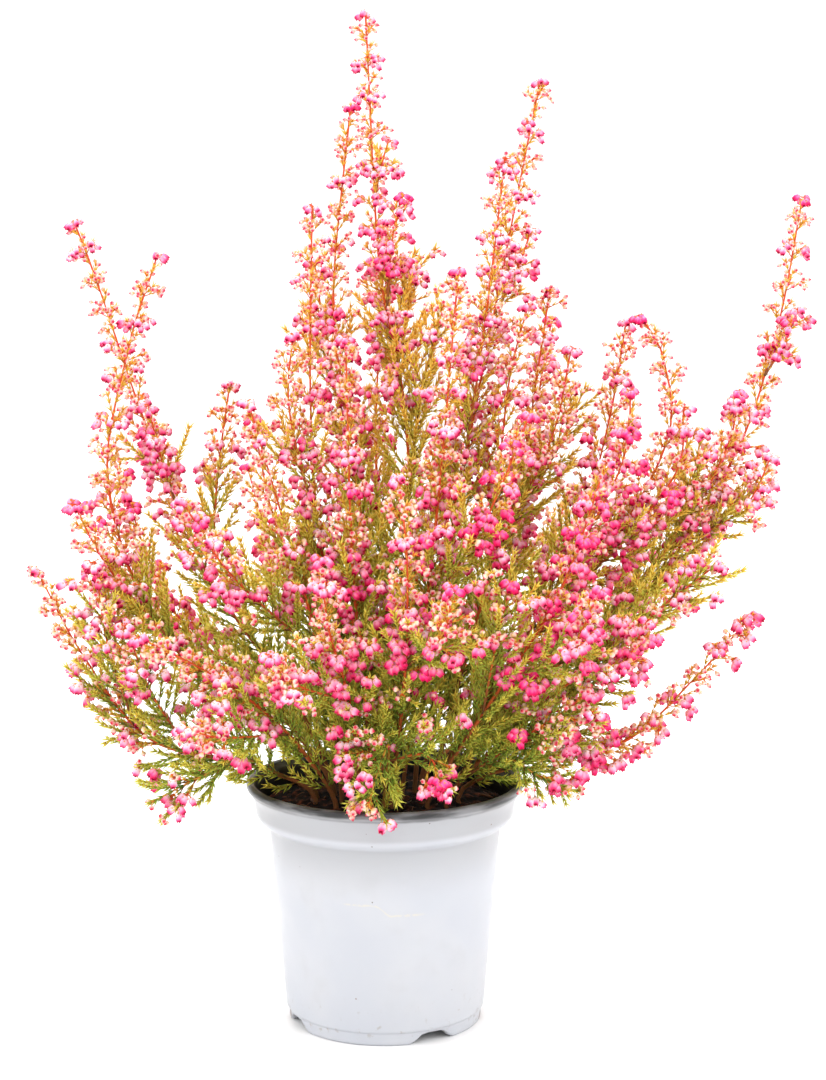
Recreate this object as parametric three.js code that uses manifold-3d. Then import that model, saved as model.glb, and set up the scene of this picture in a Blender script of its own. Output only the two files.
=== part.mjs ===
// A cape heath in bloom, growing in an 11 cm plastic nursery pot.
// Units are millimetres, +Z is up, and the origin is the middle of the pot's base.
import * as THREE from 'three';
import { mergeVertices } from 'three/addons/utils/BufferGeometryUtils.js';
import Module from 'manifold-3d';

const wasm = await Module();
wasm.setup();

// Pot
const LIP_RADIUS = 55;
const LIP_WIDTH = 3;
const LIP_TALL = 2;
const POT_HEIGHT = 97;
const COLLAR_RADIUS = 51.3;
const COLLAR_TOP = 89;
const COLLAR_BOTTOM = 83.4;
const BODY_TOP_RADIUS = 45.8;
const BODY_TOP = 79.5;
const BODY_BOTTOM_RADIUS = 39.3;
const BODY_BOTTOM = 5.6;
const FOOT_RADIUS = 38.2;
const WALL = 1.2;
const FLOOR_LEVEL = 8;
const BOSS_RADIUS = 7;
const POT_SIDES = 24;

// Drainage notches cut through the foot ring, and the hole that each opens in the floor
const NOTCH_DEGREES = [-60, 30, 118, 204];
const NOTCH_WIDTH = 13;
const NOTCH_TALL = 4.4;
const NOTCH_DEPTH = 20;
const NOTCH_MIDDLE = 35;
const DRAIN_WIDTH = 7;
const DRAIN_INNER = 25;
const DRAIN_OUTER = 35;
const DRAIN_TALL = 6;

// Peat
const SOIL_CROWN = 91;
const SOIL_EDGE = 87.5;
const SOIL_SHOULDER = 90.6;
const SOIL_SHOULDER_RADIUS = 34;
const SOIL_GAP = 0.4;
const SOIL_EDGE_GAP = 1;
const SOIL_SIDES = 16;
const HOLE_LENGTH = 24;
const HOLE_GAP = 0.9;

// Stems
const ROOT_LEVEL = 80.4;
const UPRIGHT_LENGTH = 14;
const STEM_STEP = 36;
const STEM_BASE_RADIUS = 1.3;
const FORK_BASE_RADIUS = 0.85;
const STEM_TIP_RADIUS = 0.65;

// Twigs: a step is the distance from one twig's place to the next, and one place in every few is built.
// A lean is the angle to the stem, and a rise the height that a twig's end gains for its length.
const GOLDEN_TURN = 2.39996;
const TURN_PLAY = 0.9;
const LEAFY = { step: 7, every: 6, lean: 0.62, rise: 0.16, endLength: 8 };
const BLOOM = { step: 6.5, every: 8, lean: 0.85, rise: -0.15, endLength: 5 };
const LEAFY_LOW_LENGTH = 24;
const LEAFY_HIGH_LENGTH = 12;
const LEAFY_PLAY = 6;
const BLOOM_LOW_LENGTH = 9;
const BLOOM_HIGH_LENGTH = 5;
const BLOOM_PLAY = 3;
const CLEAR_GAP = 0.4;

// Needles and bells
const NEEDLE_LENGTH = 4.4;
const NEEDLE_RISE = 0.86;
const NEEDLE_STEP = 5;
const TWIG_RADIUS = 0.62;
const STALK_RADIUS = 0.6;
const BELL_RADIUS = 2.05;
const BELL_LENGTH = 4.6;
const BELL_WIDEST = 0.62;
const BELL_SPREAD = 0.98;
const LEAFY_REACH = 3.6;
const HEAD_REACH = 4.9;
const HEAD_LENGTH = 2;

// Colours of the pot, of the peat and of the plants
const WHITE_PLASTIC = 0xe4e8f0;
const DARK_PEAT = 0x2b2019;
const HEATH_PINK = 0xc8506e;

// Each plant stands at its own root spot in the peat. A shoot's path is the line of its stem;
// the plant's further shoots fork from the first one at the given share of its length.
// leaf and bloom are the shares of a shoot's length that bear needled twigs and bells, and reach is the
// length of its needled twigs as a share of the usual one.
const PLANTS = [
  { name: 'spray_tall', root: [3, 3], shoots: [
    { path: [[6, 0, 153], [10, 2, 208], [6, 4, 258], [-2, 6, 300], [-7, 8, 394]],
      leaf: [0.15, 0.62], bloom: [0.5, 1] },
    { fork: 0.5, path: [[5, 17, 256], [6, 23, 284], [11, 26, 300]], leaf: [0.1, 1], bloom: [0.8, 1] },
    { fork: 0.42, path: [[14, -5, 250], [19, -10, 270], [22, -13, 282]],
      leaf: [0.1, 1], bloom: [0.7, 1], reach: 0.7 },
    { fork: 0.64, path: [[3, 1, 308], [7, 0, 325]], leaf: [0, 0.1], bloom: [0.1, 1], reach: 0.35 },
    { fork: 0.78, path: [[-1, 4, 337], [2, 3, 347]], leaf: [0, 0.1], bloom: [0.1, 1], reach: 0.35 },
  ] },
  { name: 'spray_second', root: [-5, 9], shoots: [
    { path: [[-3, 10, 147], [-14, 12, 235], [-20, 14, 285], [-13, 14, 359]],
      leaf: [0.15, 0.55], bloom: [0.45, 1] },
    { fork: 0.55, path: [[-21, 20, 255], [-28, 29, 300]], leaf: [0.1, 0.5], bloom: [0.4, 1] },
  ] },
  { name: 'spray_column', root: [-11, -2], shoots: [
    { path: [[-14, -8, 147], [-25, -12, 195], [-28, -14, 250], [-27, -12, 322]],
      leaf: [0.15, 0.5], bloom: [0.35, 1] },
    { fork: 0.5, path: [[-33, -20, 230], [-36, -24, 252], [-34, -25, 274]],
      leaf: [0.1, 0.4], bloom: [0.2, 1] },
  ] },
  { name: 'spray_column_front', root: [-5, -9], shoots: [
    { path: [[-8, -20, 140], [-12, -30, 190], [-14, -33, 273]], leaf: [0.15, 0.55], bloom: [0.4, 1] },
  ] },
  { name: 'spray_right_spire', root: [12, 7], shoots: [
    { path: [[18, 6, 152], [30, 10, 215], [42, 14, 276], [60, 16, 369]],
      leaf: [0.15, 0.5], bloom: [0.42, 1] },
    { fork: 0.45, path: [[35, -2, 250], [41, -6, 296], [46, -4, 340]], leaf: [0.1, 0.3], bloom: [0.3, 1] },
    { fork: 0.68, path: [[51, 12, 296], [57, 12, 312]], leaf: [0, 0.1], bloom: [0.1, 1], reach: 0.35 },
  ] },
  { name: 'spray_centre', root: [7, -7], shoots: [
    { path: [[14, -20, 150], [21, -32, 217], [28, -32, 299]], leaf: [0.15, 0.5], bloom: [0.4, 1] },
    { fork: 0.4, path: [[38, -50, 208], [54, -52, 247]], leaf: [0.1, 0.5], bloom: [0.35, 1] },
  ] },
  { name: 'spray_mid_right', root: [20, 11], shoots: [
    { path: [[34, 14, 150], [53, 20, 213], [65, 24, 288]], leaf: [0.15, 0.55], bloom: [0.45, 1] },
    { fork: 0.5, path: [[65, 4, 232], [72, -2, 267]], leaf: [0.1, 0.4], bloom: [0.3, 1] },
    { fork: 0.45, path: [[46, 2, 234], [49, -4, 260], [55, -7, 284]], leaf: [0.1, 0.4], bloom: [0.25, 1] },
    { fork: 0.52, path: [[68, 24, 224], [78, 24, 247]], leaf: [0.1, 1], bloom: [0.7, 1], reach: 0.7 },
  ] },
  { name: 'spray_arch', root: [20, 1], shoots: [
    { path: [[45, 0, 137], [84, -4, 185], [109, -6, 232], [107, -6, 264], [98, -7, 280]],
      leaf: [0.15, 0.5], bloom: [0.4, 1] },
    { fork: 0.42, path: [[80, 12, 205], [89, 15, 242], [94, 12, 276]], leaf: [0.05, 0.3], bloom: [0.3, 1] },
    { fork: 0.48, path: [[110, -16, 218], [114, -19, 246]], leaf: [0.1, 0.4], bloom: [0.2, 1] },
    { fork: 0.3, path: [[86, -20, 214], [92, -26, 238], [93, -27, 253]],
      leaf: [0.1, 0.4], bloom: [0.3, 1] },
  ] },
  { name: 'spray_far_right', root: [29, 5], shoots: [
    { path: [[53, 10, 128], [100, 12, 166], [136, 10, 222], [152, 8, 272], [161, 8, 324]],
      leaf: [0.15, 0.55], bloom: [0.45, 1] },
    { fork: 0.5, path: [[139, -6, 206], [149, -10, 227]], leaf: [0.1, 0.6], bloom: [0.4, 1], reach: 0.6 },
    { fork: 0.44, path: [[126, 0, 214], [134, -4, 234], [136, -5, 250]],
      leaf: [0.1, 0.4], bloom: [0.2, 1] },
    { fork: 0.3, path: [[112, 2, 192], [119, -2, 214], [122, -4, 232]],
      leaf: [0.1, 1], bloom: [0.6, 1], reach: 0.7 },
    { fork: 0.76, path: [[154, 2, 268], [159, 0, 282]], leaf: [0, 0.1], bloom: [0.1, 1], reach: 0.35 },
  ] },
  { name: 'spray_low_right', root: [31, -5], shoots: [
    { path: [[61, -8, 107], [94, -12, 115], [120, -14, 140], [142, -14, 165]],
      leaf: [0.12, 0.42], bloom: [0.3, 1], reach: 0.7 },
    { fork: 0.1, path: [[46, -26, 111], [57, -40, 109], [67, -43, 103]], leaf: [0.1, 1], bloom: [0.7, 1] },
  ] },
  { name: 'spray_far_left', root: [-21, 5], shoots: [
    { path: [[-36, 6, 128], [-69, 9, 176], [-92, 11, 232], [-111, 12, 290], [-120, 12, 315]],
      leaf: [0.15, 0.5], bloom: [0.42, 1] },
    { fork: 0.42, path: [[-67, 28, 213], [-62, 32, 250]], leaf: [0.1, 0.6], bloom: [0.4, 1], reach: 0.6 },
    { fork: 0.55, path: [[-87, 0, 226], [-91, -2, 245]], leaf: [0.1, 0.5], bloom: [0.2, 1] },
  ] },
  { name: 'spray_left', root: [-28, -1], shoots: [
    { path: [[-47, -5, 122], [-87, -9, 158], [-106, -11, 215], [-98, -10, 266], [-86, -10, 303]],
      leaf: [0.15, 0.5], bloom: [0.4, 1] },
    { fork: 0.33, path: [[-103, -28, 184], [-116, -38, 212]], leaf: [0.1, 0.5], bloom: [0.4, 1] },
  ] },
  { name: 'spray_low_left', root: [-29, -9], shoots: [
    { path: [[-55, -12, 106], [-91, -17, 117], [-116, -18, 150], [-133, -18, 183]],
      leaf: [0.2, 0.7], bloom: [0.45, 1] },
    { fork: 0.16, path: [[-54, -34, 113], [-69, -45, 109], [-85, -52, 102]],
      leaf: [0.1, 1], bloom: [0.7, 1] },
    { fork: 0.56, path: [[-105, -32, 158], [-108, -40, 190]], leaf: [0.05, 0.8], bloom: [0.5, 1] },
    { fork: 0.4, path: [[-88, -38, 140], [-96, -50, 168]], leaf: [0.05, 0.8], bloom: [0.5, 1] },
  ] },
  { name: 'spray_slant', root: [-17, -9], shoots: [
    { path: [[-21, -14, 136], [-34, -22, 188], [-51, -26, 249]], leaf: [0.15, 0.7], bloom: [0.5, 1] },
    { fork: 0.4, path: [[-56, -47, 186], [-74, -56, 216]], leaf: [0.1, 0.6], bloom: [0.4, 1] },
  ] },
  { name: 'spray_rim', root: [0, -28], shoots: [
    { path: [[2, -44, 121], [-2, -54, 113], [-5, -59, 104]], leaf: [0.3, 1], bloom: [0.9, 1] },
    { fork: 0.5, path: [[16, -52, 119], [22, -59, 110]], leaf: [0.1, 0.8], bloom: [0.5, 1] },
    { fork: 0.4, path: [[-7, -46, 119], [-14, -56, 114]], leaf: [0.1, 0.6], bloom: [0.3, 1] },
  ] },
  { name: 'spray_front', root: [3, -19], shoots: [
    { path: [[8, -46, 148], [9, -64, 192], [6, -70, 226]], leaf: [0.15, 0.6], bloom: [0.45, 1] },
    { fork: 0.5, path: [[22, -76, 170], [25, -84, 188]], leaf: [0.1, 0.5], bloom: [0.4, 1] },
  ] },
  { name: 'spray_front_right', root: [18, -16], shoots: [
    { path: [[44, -40, 142], [66, -52, 182], [82, -56, 230]], leaf: [0.15, 0.55], bloom: [0.4, 1] },
    { fork: 0.5, path: [[69, -68, 164], [78, -80, 187]], leaf: [0.1, 0.5], bloom: [0.4, 1] },
    { fork: 0.35, path: [[42, -54, 162], [47, -62, 186]], leaf: [0.1, 0.9], bloom: [0.5, 1] },
  ] },
  { name: 'spray_front_left', root: [-9, -19], shoots: [
    { path: [[-13, -46, 139], [-20, -64, 170], [-22, -74, 197]], leaf: [0.15, 0.6], bloom: [0.45, 1] },
    { fork: 0.5, path: [[-31, -72, 150], [-40, -86, 164]], leaf: [0.1, 0.5], bloom: [0.4, 1] },
  ] },
  { name: 'spray_left_front', root: [-20, -18], shoots: [
    { path: [[-38, -36, 125], [-61, -56, 149], [-88, -70, 167]], leaf: [0.2, 0.65], bloom: [0.45, 1] },
    { fork: 0.4, path: [[-60, -70, 130], [-71, -84, 137]], leaf: [0.1, 0.6], bloom: [0.5, 1] },
  ] },
  { name: 'spray_right_front', root: [26, -12], shoots: [
    { path: [[55, -18, 125], [90, -28, 158], [124, -30, 186]], leaf: [0.2, 1], bloom: [0.5, 1] },
    { fork: 0.42, path: [[88, -42, 150], [98, -52, 170]], leaf: [0.1, 0.6], bloom: [0.4, 1] },
    { fork: 0.14, path: [[54, -34, 122], [67, -44, 133], [77, -50, 143]],
      leaf: [0.1, 0.8], bloom: [0.5, 1] },
    { fork: 0.24, path: [[68, -31, 124], [83, -38, 131]], leaf: [0.1, 0.8], bloom: [0.5, 1] },
  ] },
  { name: 'spray_back', root: [1, 20], shoots: [
    { path: [[0, 38, 158], [-4, 50, 225], [0, 58, 314]], leaf: [0.15, 0.55], bloom: [0.45, 1] },
    { fork: 0.4, path: [[22, 78, 206], [30, 92, 240]], leaf: [0.1, 0.5], bloom: [0.4, 1] },
  ] },
  { name: 'spray_back_left', root: [-14, 17], shoots: [
    { path: [[-30, 42, 150], [-46, 55, 192], [-55, 64, 234]], leaf: [0.15, 0.55], bloom: [0.45, 1] },
    { fork: 0.4, path: [[-50, 86, 180], [-60, 104, 208]], leaf: [0.1, 0.5], bloom: [0.4, 1] },
  ] },
  { name: 'spray_back_right', root: [15, 19], shoots: [
    { path: [[34, 41, 151], [54, 54, 202], [68, 64, 274]], leaf: [0.15, 0.55], bloom: [0.45, 1] },
    { fork: 0.4, path: [[66, 86, 176], [80, 104, 200]], leaf: [0.1, 0.5], bloom: [0.4, 1] },
  ] },
  { name: 'spray_back_far_left', root: [-23, 13], shoots: [
    { path: [[-52, 34, 126], [-88, 50, 156], [-114, 62, 222]], leaf: [0.15, 0.55], bloom: [0.45, 1] },
    { fork: 0.45, path: [[-102, 70, 152], [-118, 84, 168]], leaf: [0.1, 0.5], bloom: [0.4, 1] },
  ] },
  { name: 'spray_back_far_right', root: [26, 13], shoots: [
    { path: [[56, 34, 126], [94, 52, 154], [122, 64, 214]], leaf: [0.15, 0.55], bloom: [0.45, 1] },
    { fork: 0.45, path: [[106, 74, 148], [124, 86, 162]], leaf: [0.1, 0.5], bloom: [0.4, 1] },
  ] },
  { name: 'spray_back_low', root: [3, 29], shoots: [
    { path: [[0, 62, 110], [-6, 96, 128], [-12, 124, 178]], leaf: [0.2, 0.65], bloom: [0.5, 1] },
    { fork: 0.4, path: [[28, 104, 124], [40, 122, 148]], leaf: [0.1, 0.6], bloom: [0.5, 1] },
  ] },
  { name: 'spray_back_low_left', root: [-13, 26], shoots: [
    { path: [[-38, 62, 108], [-64, 90, 122], [-80, 102, 142]], leaf: [0.2, 0.7], bloom: [0.5, 1] },
  ] },
  { name: 'spray_back_low_right', root: [18, 27], shoots: [
    { path: [[44, 60, 108], [70, 84, 120], [92, 100, 138]], leaf: [0.2, 0.7], bloom: [0.5, 1] },
  ] },
];

const vec = (x, y, z) => new THREE.Vector3(x, y, z);
const UP = vec(0, 0, 1);

// A repeatable number from 0 to 1 for three whole numbers
function draw(a, b, c) {
  const wave = Math.sin(a * 12.9898 + b * 78.233 + c * 37.719) * 43758.5453;
  return wave - Math.floor(wave);
}

function mix(a, b, share) {
  return a + (b - a) * share;
}

function closedSolid(geometry) {
  geometry.deleteAttribute('normal');
  geometry.deleteAttribute('uv');
  const welded = mergeVertices(geometry, 1e-4);
  const mesh = new wasm.Mesh({
    numProp: 3,
    vertProperties: new Float32Array(welded.attributes.position.array),
    triVerts: new Uint32Array(welded.index.array),
  });
  return new wasm.Manifold(mesh);
}

function geometryOf(solid) {
  const mesh = solid.getMesh();
  const geometry = new THREE.BufferGeometry();
  geometry.setAttribute('position', new THREE.BufferAttribute(mesh.vertProperties, 3));
  geometry.setIndex(new THREE.BufferAttribute(mesh.triVerts, 1));
  return geometry;
}

function meshOf(name, solid, color, roughness) {
  const material = new THREE.MeshStandardMaterial({ color, roughness, metalness: 0, flatShading: true });
  const mesh = new THREE.Mesh(geometryOf(solid), material);
  mesh.name = name;
  return mesh;
}

// The profile turns about Z: outside from the foot up to the lip, then down the inside to the floor
function turned(outline, sides) {
  const points = outline.map(([radius, level]) => new THREE.Vector2(radius, level));
  const geometry = new THREE.LatheGeometry(points, sides);
  geometry.rotateX(Math.PI / 2);
  return closedSolid(geometry);
}

function blockAt(width, depth, tall, radius, level, angle) {
  const block = new THREE.BoxGeometry(depth, width, tall);
  block.translate(radius, 0, level);
  block.rotateZ(angle);
  return closedSolid(block);
}

// The radius of the body's outside at a level
function bodyRadius(level) {
  return mix(BODY_BOTTOM_RADIUS, BODY_TOP_RADIUS, (level - BODY_BOTTOM) / (BODY_TOP - BODY_BOTTOM));
}

function makePot() {
  const outline = [
    [0, 0],
    [BOSS_RADIUS, 0],
    [BOSS_RADIUS, FLOOR_LEVEL - WALL],
    [FOOT_RADIUS - 2 * WALL, FLOOR_LEVEL - WALL],
    [FOOT_RADIUS - 2 * WALL, 0],
    [FOOT_RADIUS, 0],
    [FOOT_RADIUS, BODY_BOTTOM],
    [BODY_BOTTOM_RADIUS, BODY_BOTTOM],
    [BODY_TOP_RADIUS, BODY_TOP],
    [COLLAR_RADIUS, COLLAR_BOTTOM],
    [COLLAR_RADIUS, COLLAR_TOP],
    [LIP_RADIUS, POT_HEIGHT - LIP_TALL],
    [LIP_RADIUS - LIP_WIDTH / 3, POT_HEIGHT],
    [LIP_RADIUS - LIP_WIDTH, POT_HEIGHT],
    [COLLAR_RADIUS - WALL, COLLAR_TOP],
    [COLLAR_RADIUS - WALL, COLLAR_BOTTOM],
    [BODY_TOP_RADIUS - WALL, BODY_TOP],
    [bodyRadius(FLOOR_LEVEL) - WALL, FLOOR_LEVEL],
    [0, FLOOR_LEVEL],
  ];
  let pot = turned(outline, POT_SIDES);
  const drainDepth = DRAIN_OUTER - DRAIN_INNER;
  const drainMiddle = (DRAIN_OUTER + DRAIN_INNER) / 2;
  for (const degrees of NOTCH_DEGREES) {
    const angle = THREE.MathUtils.degToRad(degrees);
    const gate = blockAt(NOTCH_WIDTH, NOTCH_DEPTH, 2 * NOTCH_TALL, NOTCH_MIDDLE, 0, angle);
    const drain = blockAt(DRAIN_WIDTH, drainDepth, DRAIN_TALL, drainMiddle, FLOOR_LEVEL, angle);
    pot = pot.subtract(gate).subtract(drain);
  }
  return pot;
}

function makeSoil() {
  const lowest = FLOOR_LEVEL + SOIL_GAP;
  const edgeRadius = COLLAR_RADIUS - WALL - SOIL_EDGE_GAP;
  const outline = [
    [0, lowest],
    [bodyRadius(lowest) - WALL - SOIL_GAP, lowest],
    [BODY_TOP_RADIUS - WALL - SOIL_GAP, BODY_TOP],
    [edgeRadius, COLLAR_BOTTOM + SOIL_GAP],
    [edgeRadius, SOIL_EDGE],
    [SOIL_SHOULDER_RADIUS, SOIL_SHOULDER],
    [0, SOIL_CROWN],
  ];
  let soil = turned(outline, SOIL_SIDES);
  for (const plant of PLANTS) {
    const { marks } = stemsOf(plant)[0];
    const direction = marks[1].clone().sub(marks[0]).normalize();
    const bottom = marks[0].clone().addScaledVector(direction, -HOLE_GAP);
    const top = marks[0].clone().addScaledVector(direction, HOLE_LENGTH);
    const hole = new THREE.LineCurve3(bottom, top);
    const options = { steps: 1, extrudePath: hole, bevelEnabled: false };
    const section = squareSection(STEM_BASE_RADIUS + HOLE_GAP);
    soil = soil.subtract(closedSolid(new THREE.ExtrudeGeometry(section, options)));
  }
  return soil;
}

// A stem is a smooth line, cut into straight stretches that start and end at its marks
function stemAlong(points, isFork) {
  const line = new THREE.CatmullRomCurve3(points, false, 'catmullrom', 0.5);
  const length = line.getLength();
  const steps = Math.max(3, Math.round(length / STEM_STEP));
  return { line, length, steps, marks: line.getSpacedPoints(steps), isFork };
}

function stemPoint(stem, share) {
  const place = Math.min(share * stem.steps, stem.steps - 1e-6);
  const mark = Math.floor(place);
  const point = stem.marks[mark].clone().lerp(stem.marks[mark + 1], place - mark);
  const direction = stem.marks[mark + 1].clone().sub(stem.marks[mark]).normalize();
  return { point, direction };
}

// A plant's first stem starts in its hole, and a further one on the first stem
function stemsOf(plant) {
  const [x, y] = plant.root;
  const stems = [];
  for (const shoot of plant.shoots) {
    const points = shoot.path.map((point) => vec(...point));
    const isFork = stems.length > 0;
    if (isFork) {
      points.unshift(stemPoint(stems[0], shoot.fork).point);
    } else {
      points.unshift(vec(x, y, ROOT_LEVEL), vec(x, y, ROOT_LEVEL + UPRIGHT_LENGTH));
    }
    stems.push(stemAlong(points, isFork));
  }
  return stems;
}

function stemRadius(stem, share) {
  const base = stem.isFork ? FORK_BASE_RADIUS : STEM_BASE_RADIUS;
  return mix(base, STEM_TIP_RADIUS, Math.min(1, share * 1.4));
}

function squareSection(half) {
  const corners = [[half, half], [-half, half], [-half, -half], [half, -half]];
  return new THREE.Shape(corners.map(([x, y]) => new THREE.Vector2(x, y)));
}

// A tapering stem: an extruded square whose corners are drawn in towards the line
function stemSolid(stem) {
  const { line, steps, marks } = stem;
  const options = { steps, extrudePath: line, bevelEnabled: false };
  const geometry = new THREE.ExtrudeGeometry(squareSection(1), options);
  const places = geometry.attributes.position;
  const corner = vec(0, 0, 0);
  for (let index = 0; index < places.count; index += 1) {
    corner.fromBufferAttribute(places, index);
    let nearest = 0;
    for (let mark = 1; mark <= steps; mark += 1) {
      if (marks[mark].distanceTo(corner) < marks[nearest].distanceTo(corner)) {
        nearest = mark;
      }
    }
    const radius = stemRadius(stem, nearest / steps);
    corner.sub(marks[nearest]).multiplyScalar(radius).add(marks[nearest]);
    places.setXYZ(index, corner.x, corner.y, corner.z);
  }
  return closedSolid(geometry);
}

// Two vectors across a direction, the first of them level with the given axis
function around(direction, axis) {
  const across = vec().crossVectors(direction, axis).normalize();
  const over = vec().crossVectors(direction, across).normalize();
  return { across, over };
}

// The axis that a twig points along least, so that its rings don't twist
function crossAxis(direction) {
  return Math.abs(direction.y) < 0.6 ? vec(0, 1, 0) : vec(1, 0, 0);
}

function ring(center, direction, axis, radius, count, turn) {
  const { across, over } = around(direction, axis);
  const points = [];
  for (let index = 0; index < count; index += 1) {
    const angle = turn + (index * 2 * Math.PI) / count;
    const offset = across.clone().multiplyScalar(Math.cos(angle) * radius);
    offset.addScaledVector(over, Math.sin(angle) * radius);
    points.push(center.clone().add(offset));
  }
  return points;
}

function solidFromFaces(faces) {
  const places = [];
  for (const face of faces) {
    for (const corner of face) {
      places.push(corner.x, corner.y, corner.z);
    }
  }
  const geometry = new THREE.BufferGeometry();
  geometry.setAttribute('position', new THREE.BufferAttribute(new Float32Array(places), 3));
  return closedSolid(geometry);
}

// One face of the core is pulled out to a point, which makes a three-sided needle
function needleOn(face, direction, core, length) {
  const middle = vec().add(face[0]).add(face[1]).add(face[2]).divideScalar(3);
  const outward = middle.clone().sub(core);
  outward.addScaledVector(direction, -outward.dot(direction)).normalize();
  const tip = middle.addScaledVector(outward, length * Math.cos(NEEDLE_RISE));
  tip.addScaledVector(direction, length * Math.sin(NEEDLE_RISE));
  return [[face[0], face[1], tip], [face[1], face[2], tip], [face[2], face[0], tip]];
}

// A needled twig: a slim three-sided core, twisted a sixth of a turn at each step, with three needles
// to a step and a last one at the tip
function leafyTwig(twig) {
  const { line, axis } = twig;
  const steps = Math.max(3, Math.round(twig.length / NEEDLE_STEP));
  const faces = [];
  let lower = null;
  for (let step = 0; step <= steps; step += 1) {
    const share = (step / steps) * 0.92;
    const center = line.getPoint(share);
    const direction = line.getTangent(share);
    const radius = TWIG_RADIUS * mix(1, 0.75, share);
    const upper = ring(center, direction, axis, radius, 3, (step * Math.PI) / 3);
    if (lower === null) {
      faces.push([upper[0], upper[2], upper[1]]);
    } else {
      const length = NEEDLE_LENGTH * mix(1, 0.8, share);
      for (let side = 0; side < 3; side += 1) {
        const next = (side + 1) % 3;
        const rising = [lower[side], lower[next], upper[side]];
        const falling = [upper[side], lower[next], upper[next]];
        if (step > 1) {
          faces.push(...needleOn(rising, direction, center, length));
        } else {
          faces.push(rising);
        }
        faces.push(falling);
      }
    }
    lower = upper;
  }
  const tip = line.getPoint(1);
  for (let side = 0; side < 3; side += 1) {
    faces.push([lower[side], lower[(side + 1) % 3], tip]);
  }
  return solidFromFaces(faces);
}

// A bell grows from one side of the hub: narrow at its root, widest below the middle, closed at the mouth
function bellOn(faceCorners, axisDirection) {
  const root = vec();
  for (const corner of faceCorners) {
    root.addScaledVector(corner, 0.25);
  }
  const start = faceCorners[0].clone().sub(root);
  start.addScaledVector(axisDirection, -start.dot(axisDirection)).normalize();
  const sideways = vec().crossVectors(axisDirection, start);
  const belly = [];
  for (let corner = 0; corner < 4; corner += 1) {
    const angle = (corner * Math.PI) / 2;
    const offset = start.clone().multiplyScalar(Math.cos(angle) * BELL_RADIUS);
    offset.addScaledVector(sideways, Math.sin(angle) * BELL_RADIUS);
    belly.push(root.clone().add(offset).addScaledVector(axisDirection, BELL_LENGTH * BELL_WIDEST));
  }
  const mouth = root.clone().addScaledVector(axisDirection, BELL_LENGTH);
  const faces = [];
  for (let corner = 0; corner < 4; corner += 1) {
    const next = (corner + 1) % 4;
    faces.push([faceCorners[corner], faceCorners[next], belly[next]]);
    faces.push([faceCorners[corner], belly[next], belly[corner]]);
    faces.push([belly[corner], belly[next], mouth]);
  }
  return faces;
}

// A stalk that ends in a hub with three bells spread round it
function umbel(twig) {
  const { line, axis, turn } = twig;
  const shares = [0, 0.82, 1];
  const rings = shares.map((share) => (
    ring(line.getPoint(share), line.getTangent(share), axis, STALK_RADIUS, 3, turn)
  ));
  const faces = [[rings[0][0], rings[0][2], rings[0][1]]];
  const last = rings.length - 1;
  for (let level = 0; level < last; level += 1) {
    for (let side = 0; side < 3; side += 1) {
      const next = (side + 1) % 3;
      const quad = [rings[level][side], rings[level][next], rings[level + 1][next], rings[level + 1][side]];
      if (level < last - 1) {
        faces.push([quad[0], quad[1], quad[2]], [quad[0], quad[2], quad[3]]);
      } else {
        const middle = vec();
        for (const corner of quad) {
          middle.addScaledVector(corner, 0.25);
        }
        const direction = line.getTangent(1);
        const outward = middle.sub(line.getPoint(0.93));
        outward.addScaledVector(direction, -outward.dot(direction)).normalize();
        const bellAxis = outward.multiplyScalar(Math.sin(BELL_SPREAD));
        bellAxis.addScaledVector(direction, Math.cos(BELL_SPREAD));
        faces.push(...bellOn(quad, bellAxis.normalize()));
      }
    }
  }
  faces.push([rings[last][0], rings[last][1], rings[last][2]]);
  return solidFromFaces(faces);
}

// How long a twig is: the needled ones by how far up the stem they stand, and the others by how far up
// its blooming share
function twigLength(shoot, along, order, kind) {
  const { spec, seed } = shoot;
  if (kind === LEAFY) {
    const usual = mix(LEAFY_LOW_LENGTH, LEAFY_HIGH_LENGTH, along) + LEAFY_PLAY * draw(seed, order, 3);
    return usual * (spec.reach ?? 1);
  }
  const height = (along - spec.bloom[0]) / (spec.bloom[1] - spec.bloom[0]);
  return mix(BLOOM_LOW_LENGTH, BLOOM_HIGH_LENGTH, height) + BLOOM_PLAY * draw(seed, order, 2);
}

// A twig leaves its stem at an angle, turned round it by the golden turn from the twig before
function sideTwig(shoot, along, order, kind) {
  const { point, direction } = stemPoint(shoot.stem, along);
  const { across, over } = around(direction, vec(0, 1, 0));
  const azimuth = order * GOLDEN_TURN + TURN_PLAY * draw(shoot.seed, order, 1);
  const side = across.multiplyScalar(Math.cos(azimuth)).addScaledVector(over, Math.sin(azimuth));
  const heading = direction.multiplyScalar(Math.cos(kind.lean)).addScaledVector(side, Math.sin(kind.lean));
  const length = twigLength(shoot, along, order, kind);
  const middle = point.clone().addScaledVector(heading, length * 0.6);
  const end = point.clone().addScaledVector(heading, length).addScaledVector(UP, length * kind.rise);
  const line = new THREE.QuadraticBezierCurve3(point, middle, end);
  return { line, length, kind, turn: azimuth, axis: crossAxis(heading) };
}

// The last twig carries the stem on past its tip
function endTwig(stem, kind) {
  const { point, direction } = stemPoint(stem, 1);
  const start = point.clone().addScaledVector(direction, -2);
  const length = kind.endLength;
  const middle = start.clone().addScaledVector(direction, length * 0.5);
  const end = start.clone().addScaledVector(direction, length);
  const line = new THREE.QuadraticBezierCurve3(start, middle, end);
  return { line, length, kind, turn: 0.4, axis: crossAxis(direction) };
}

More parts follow.
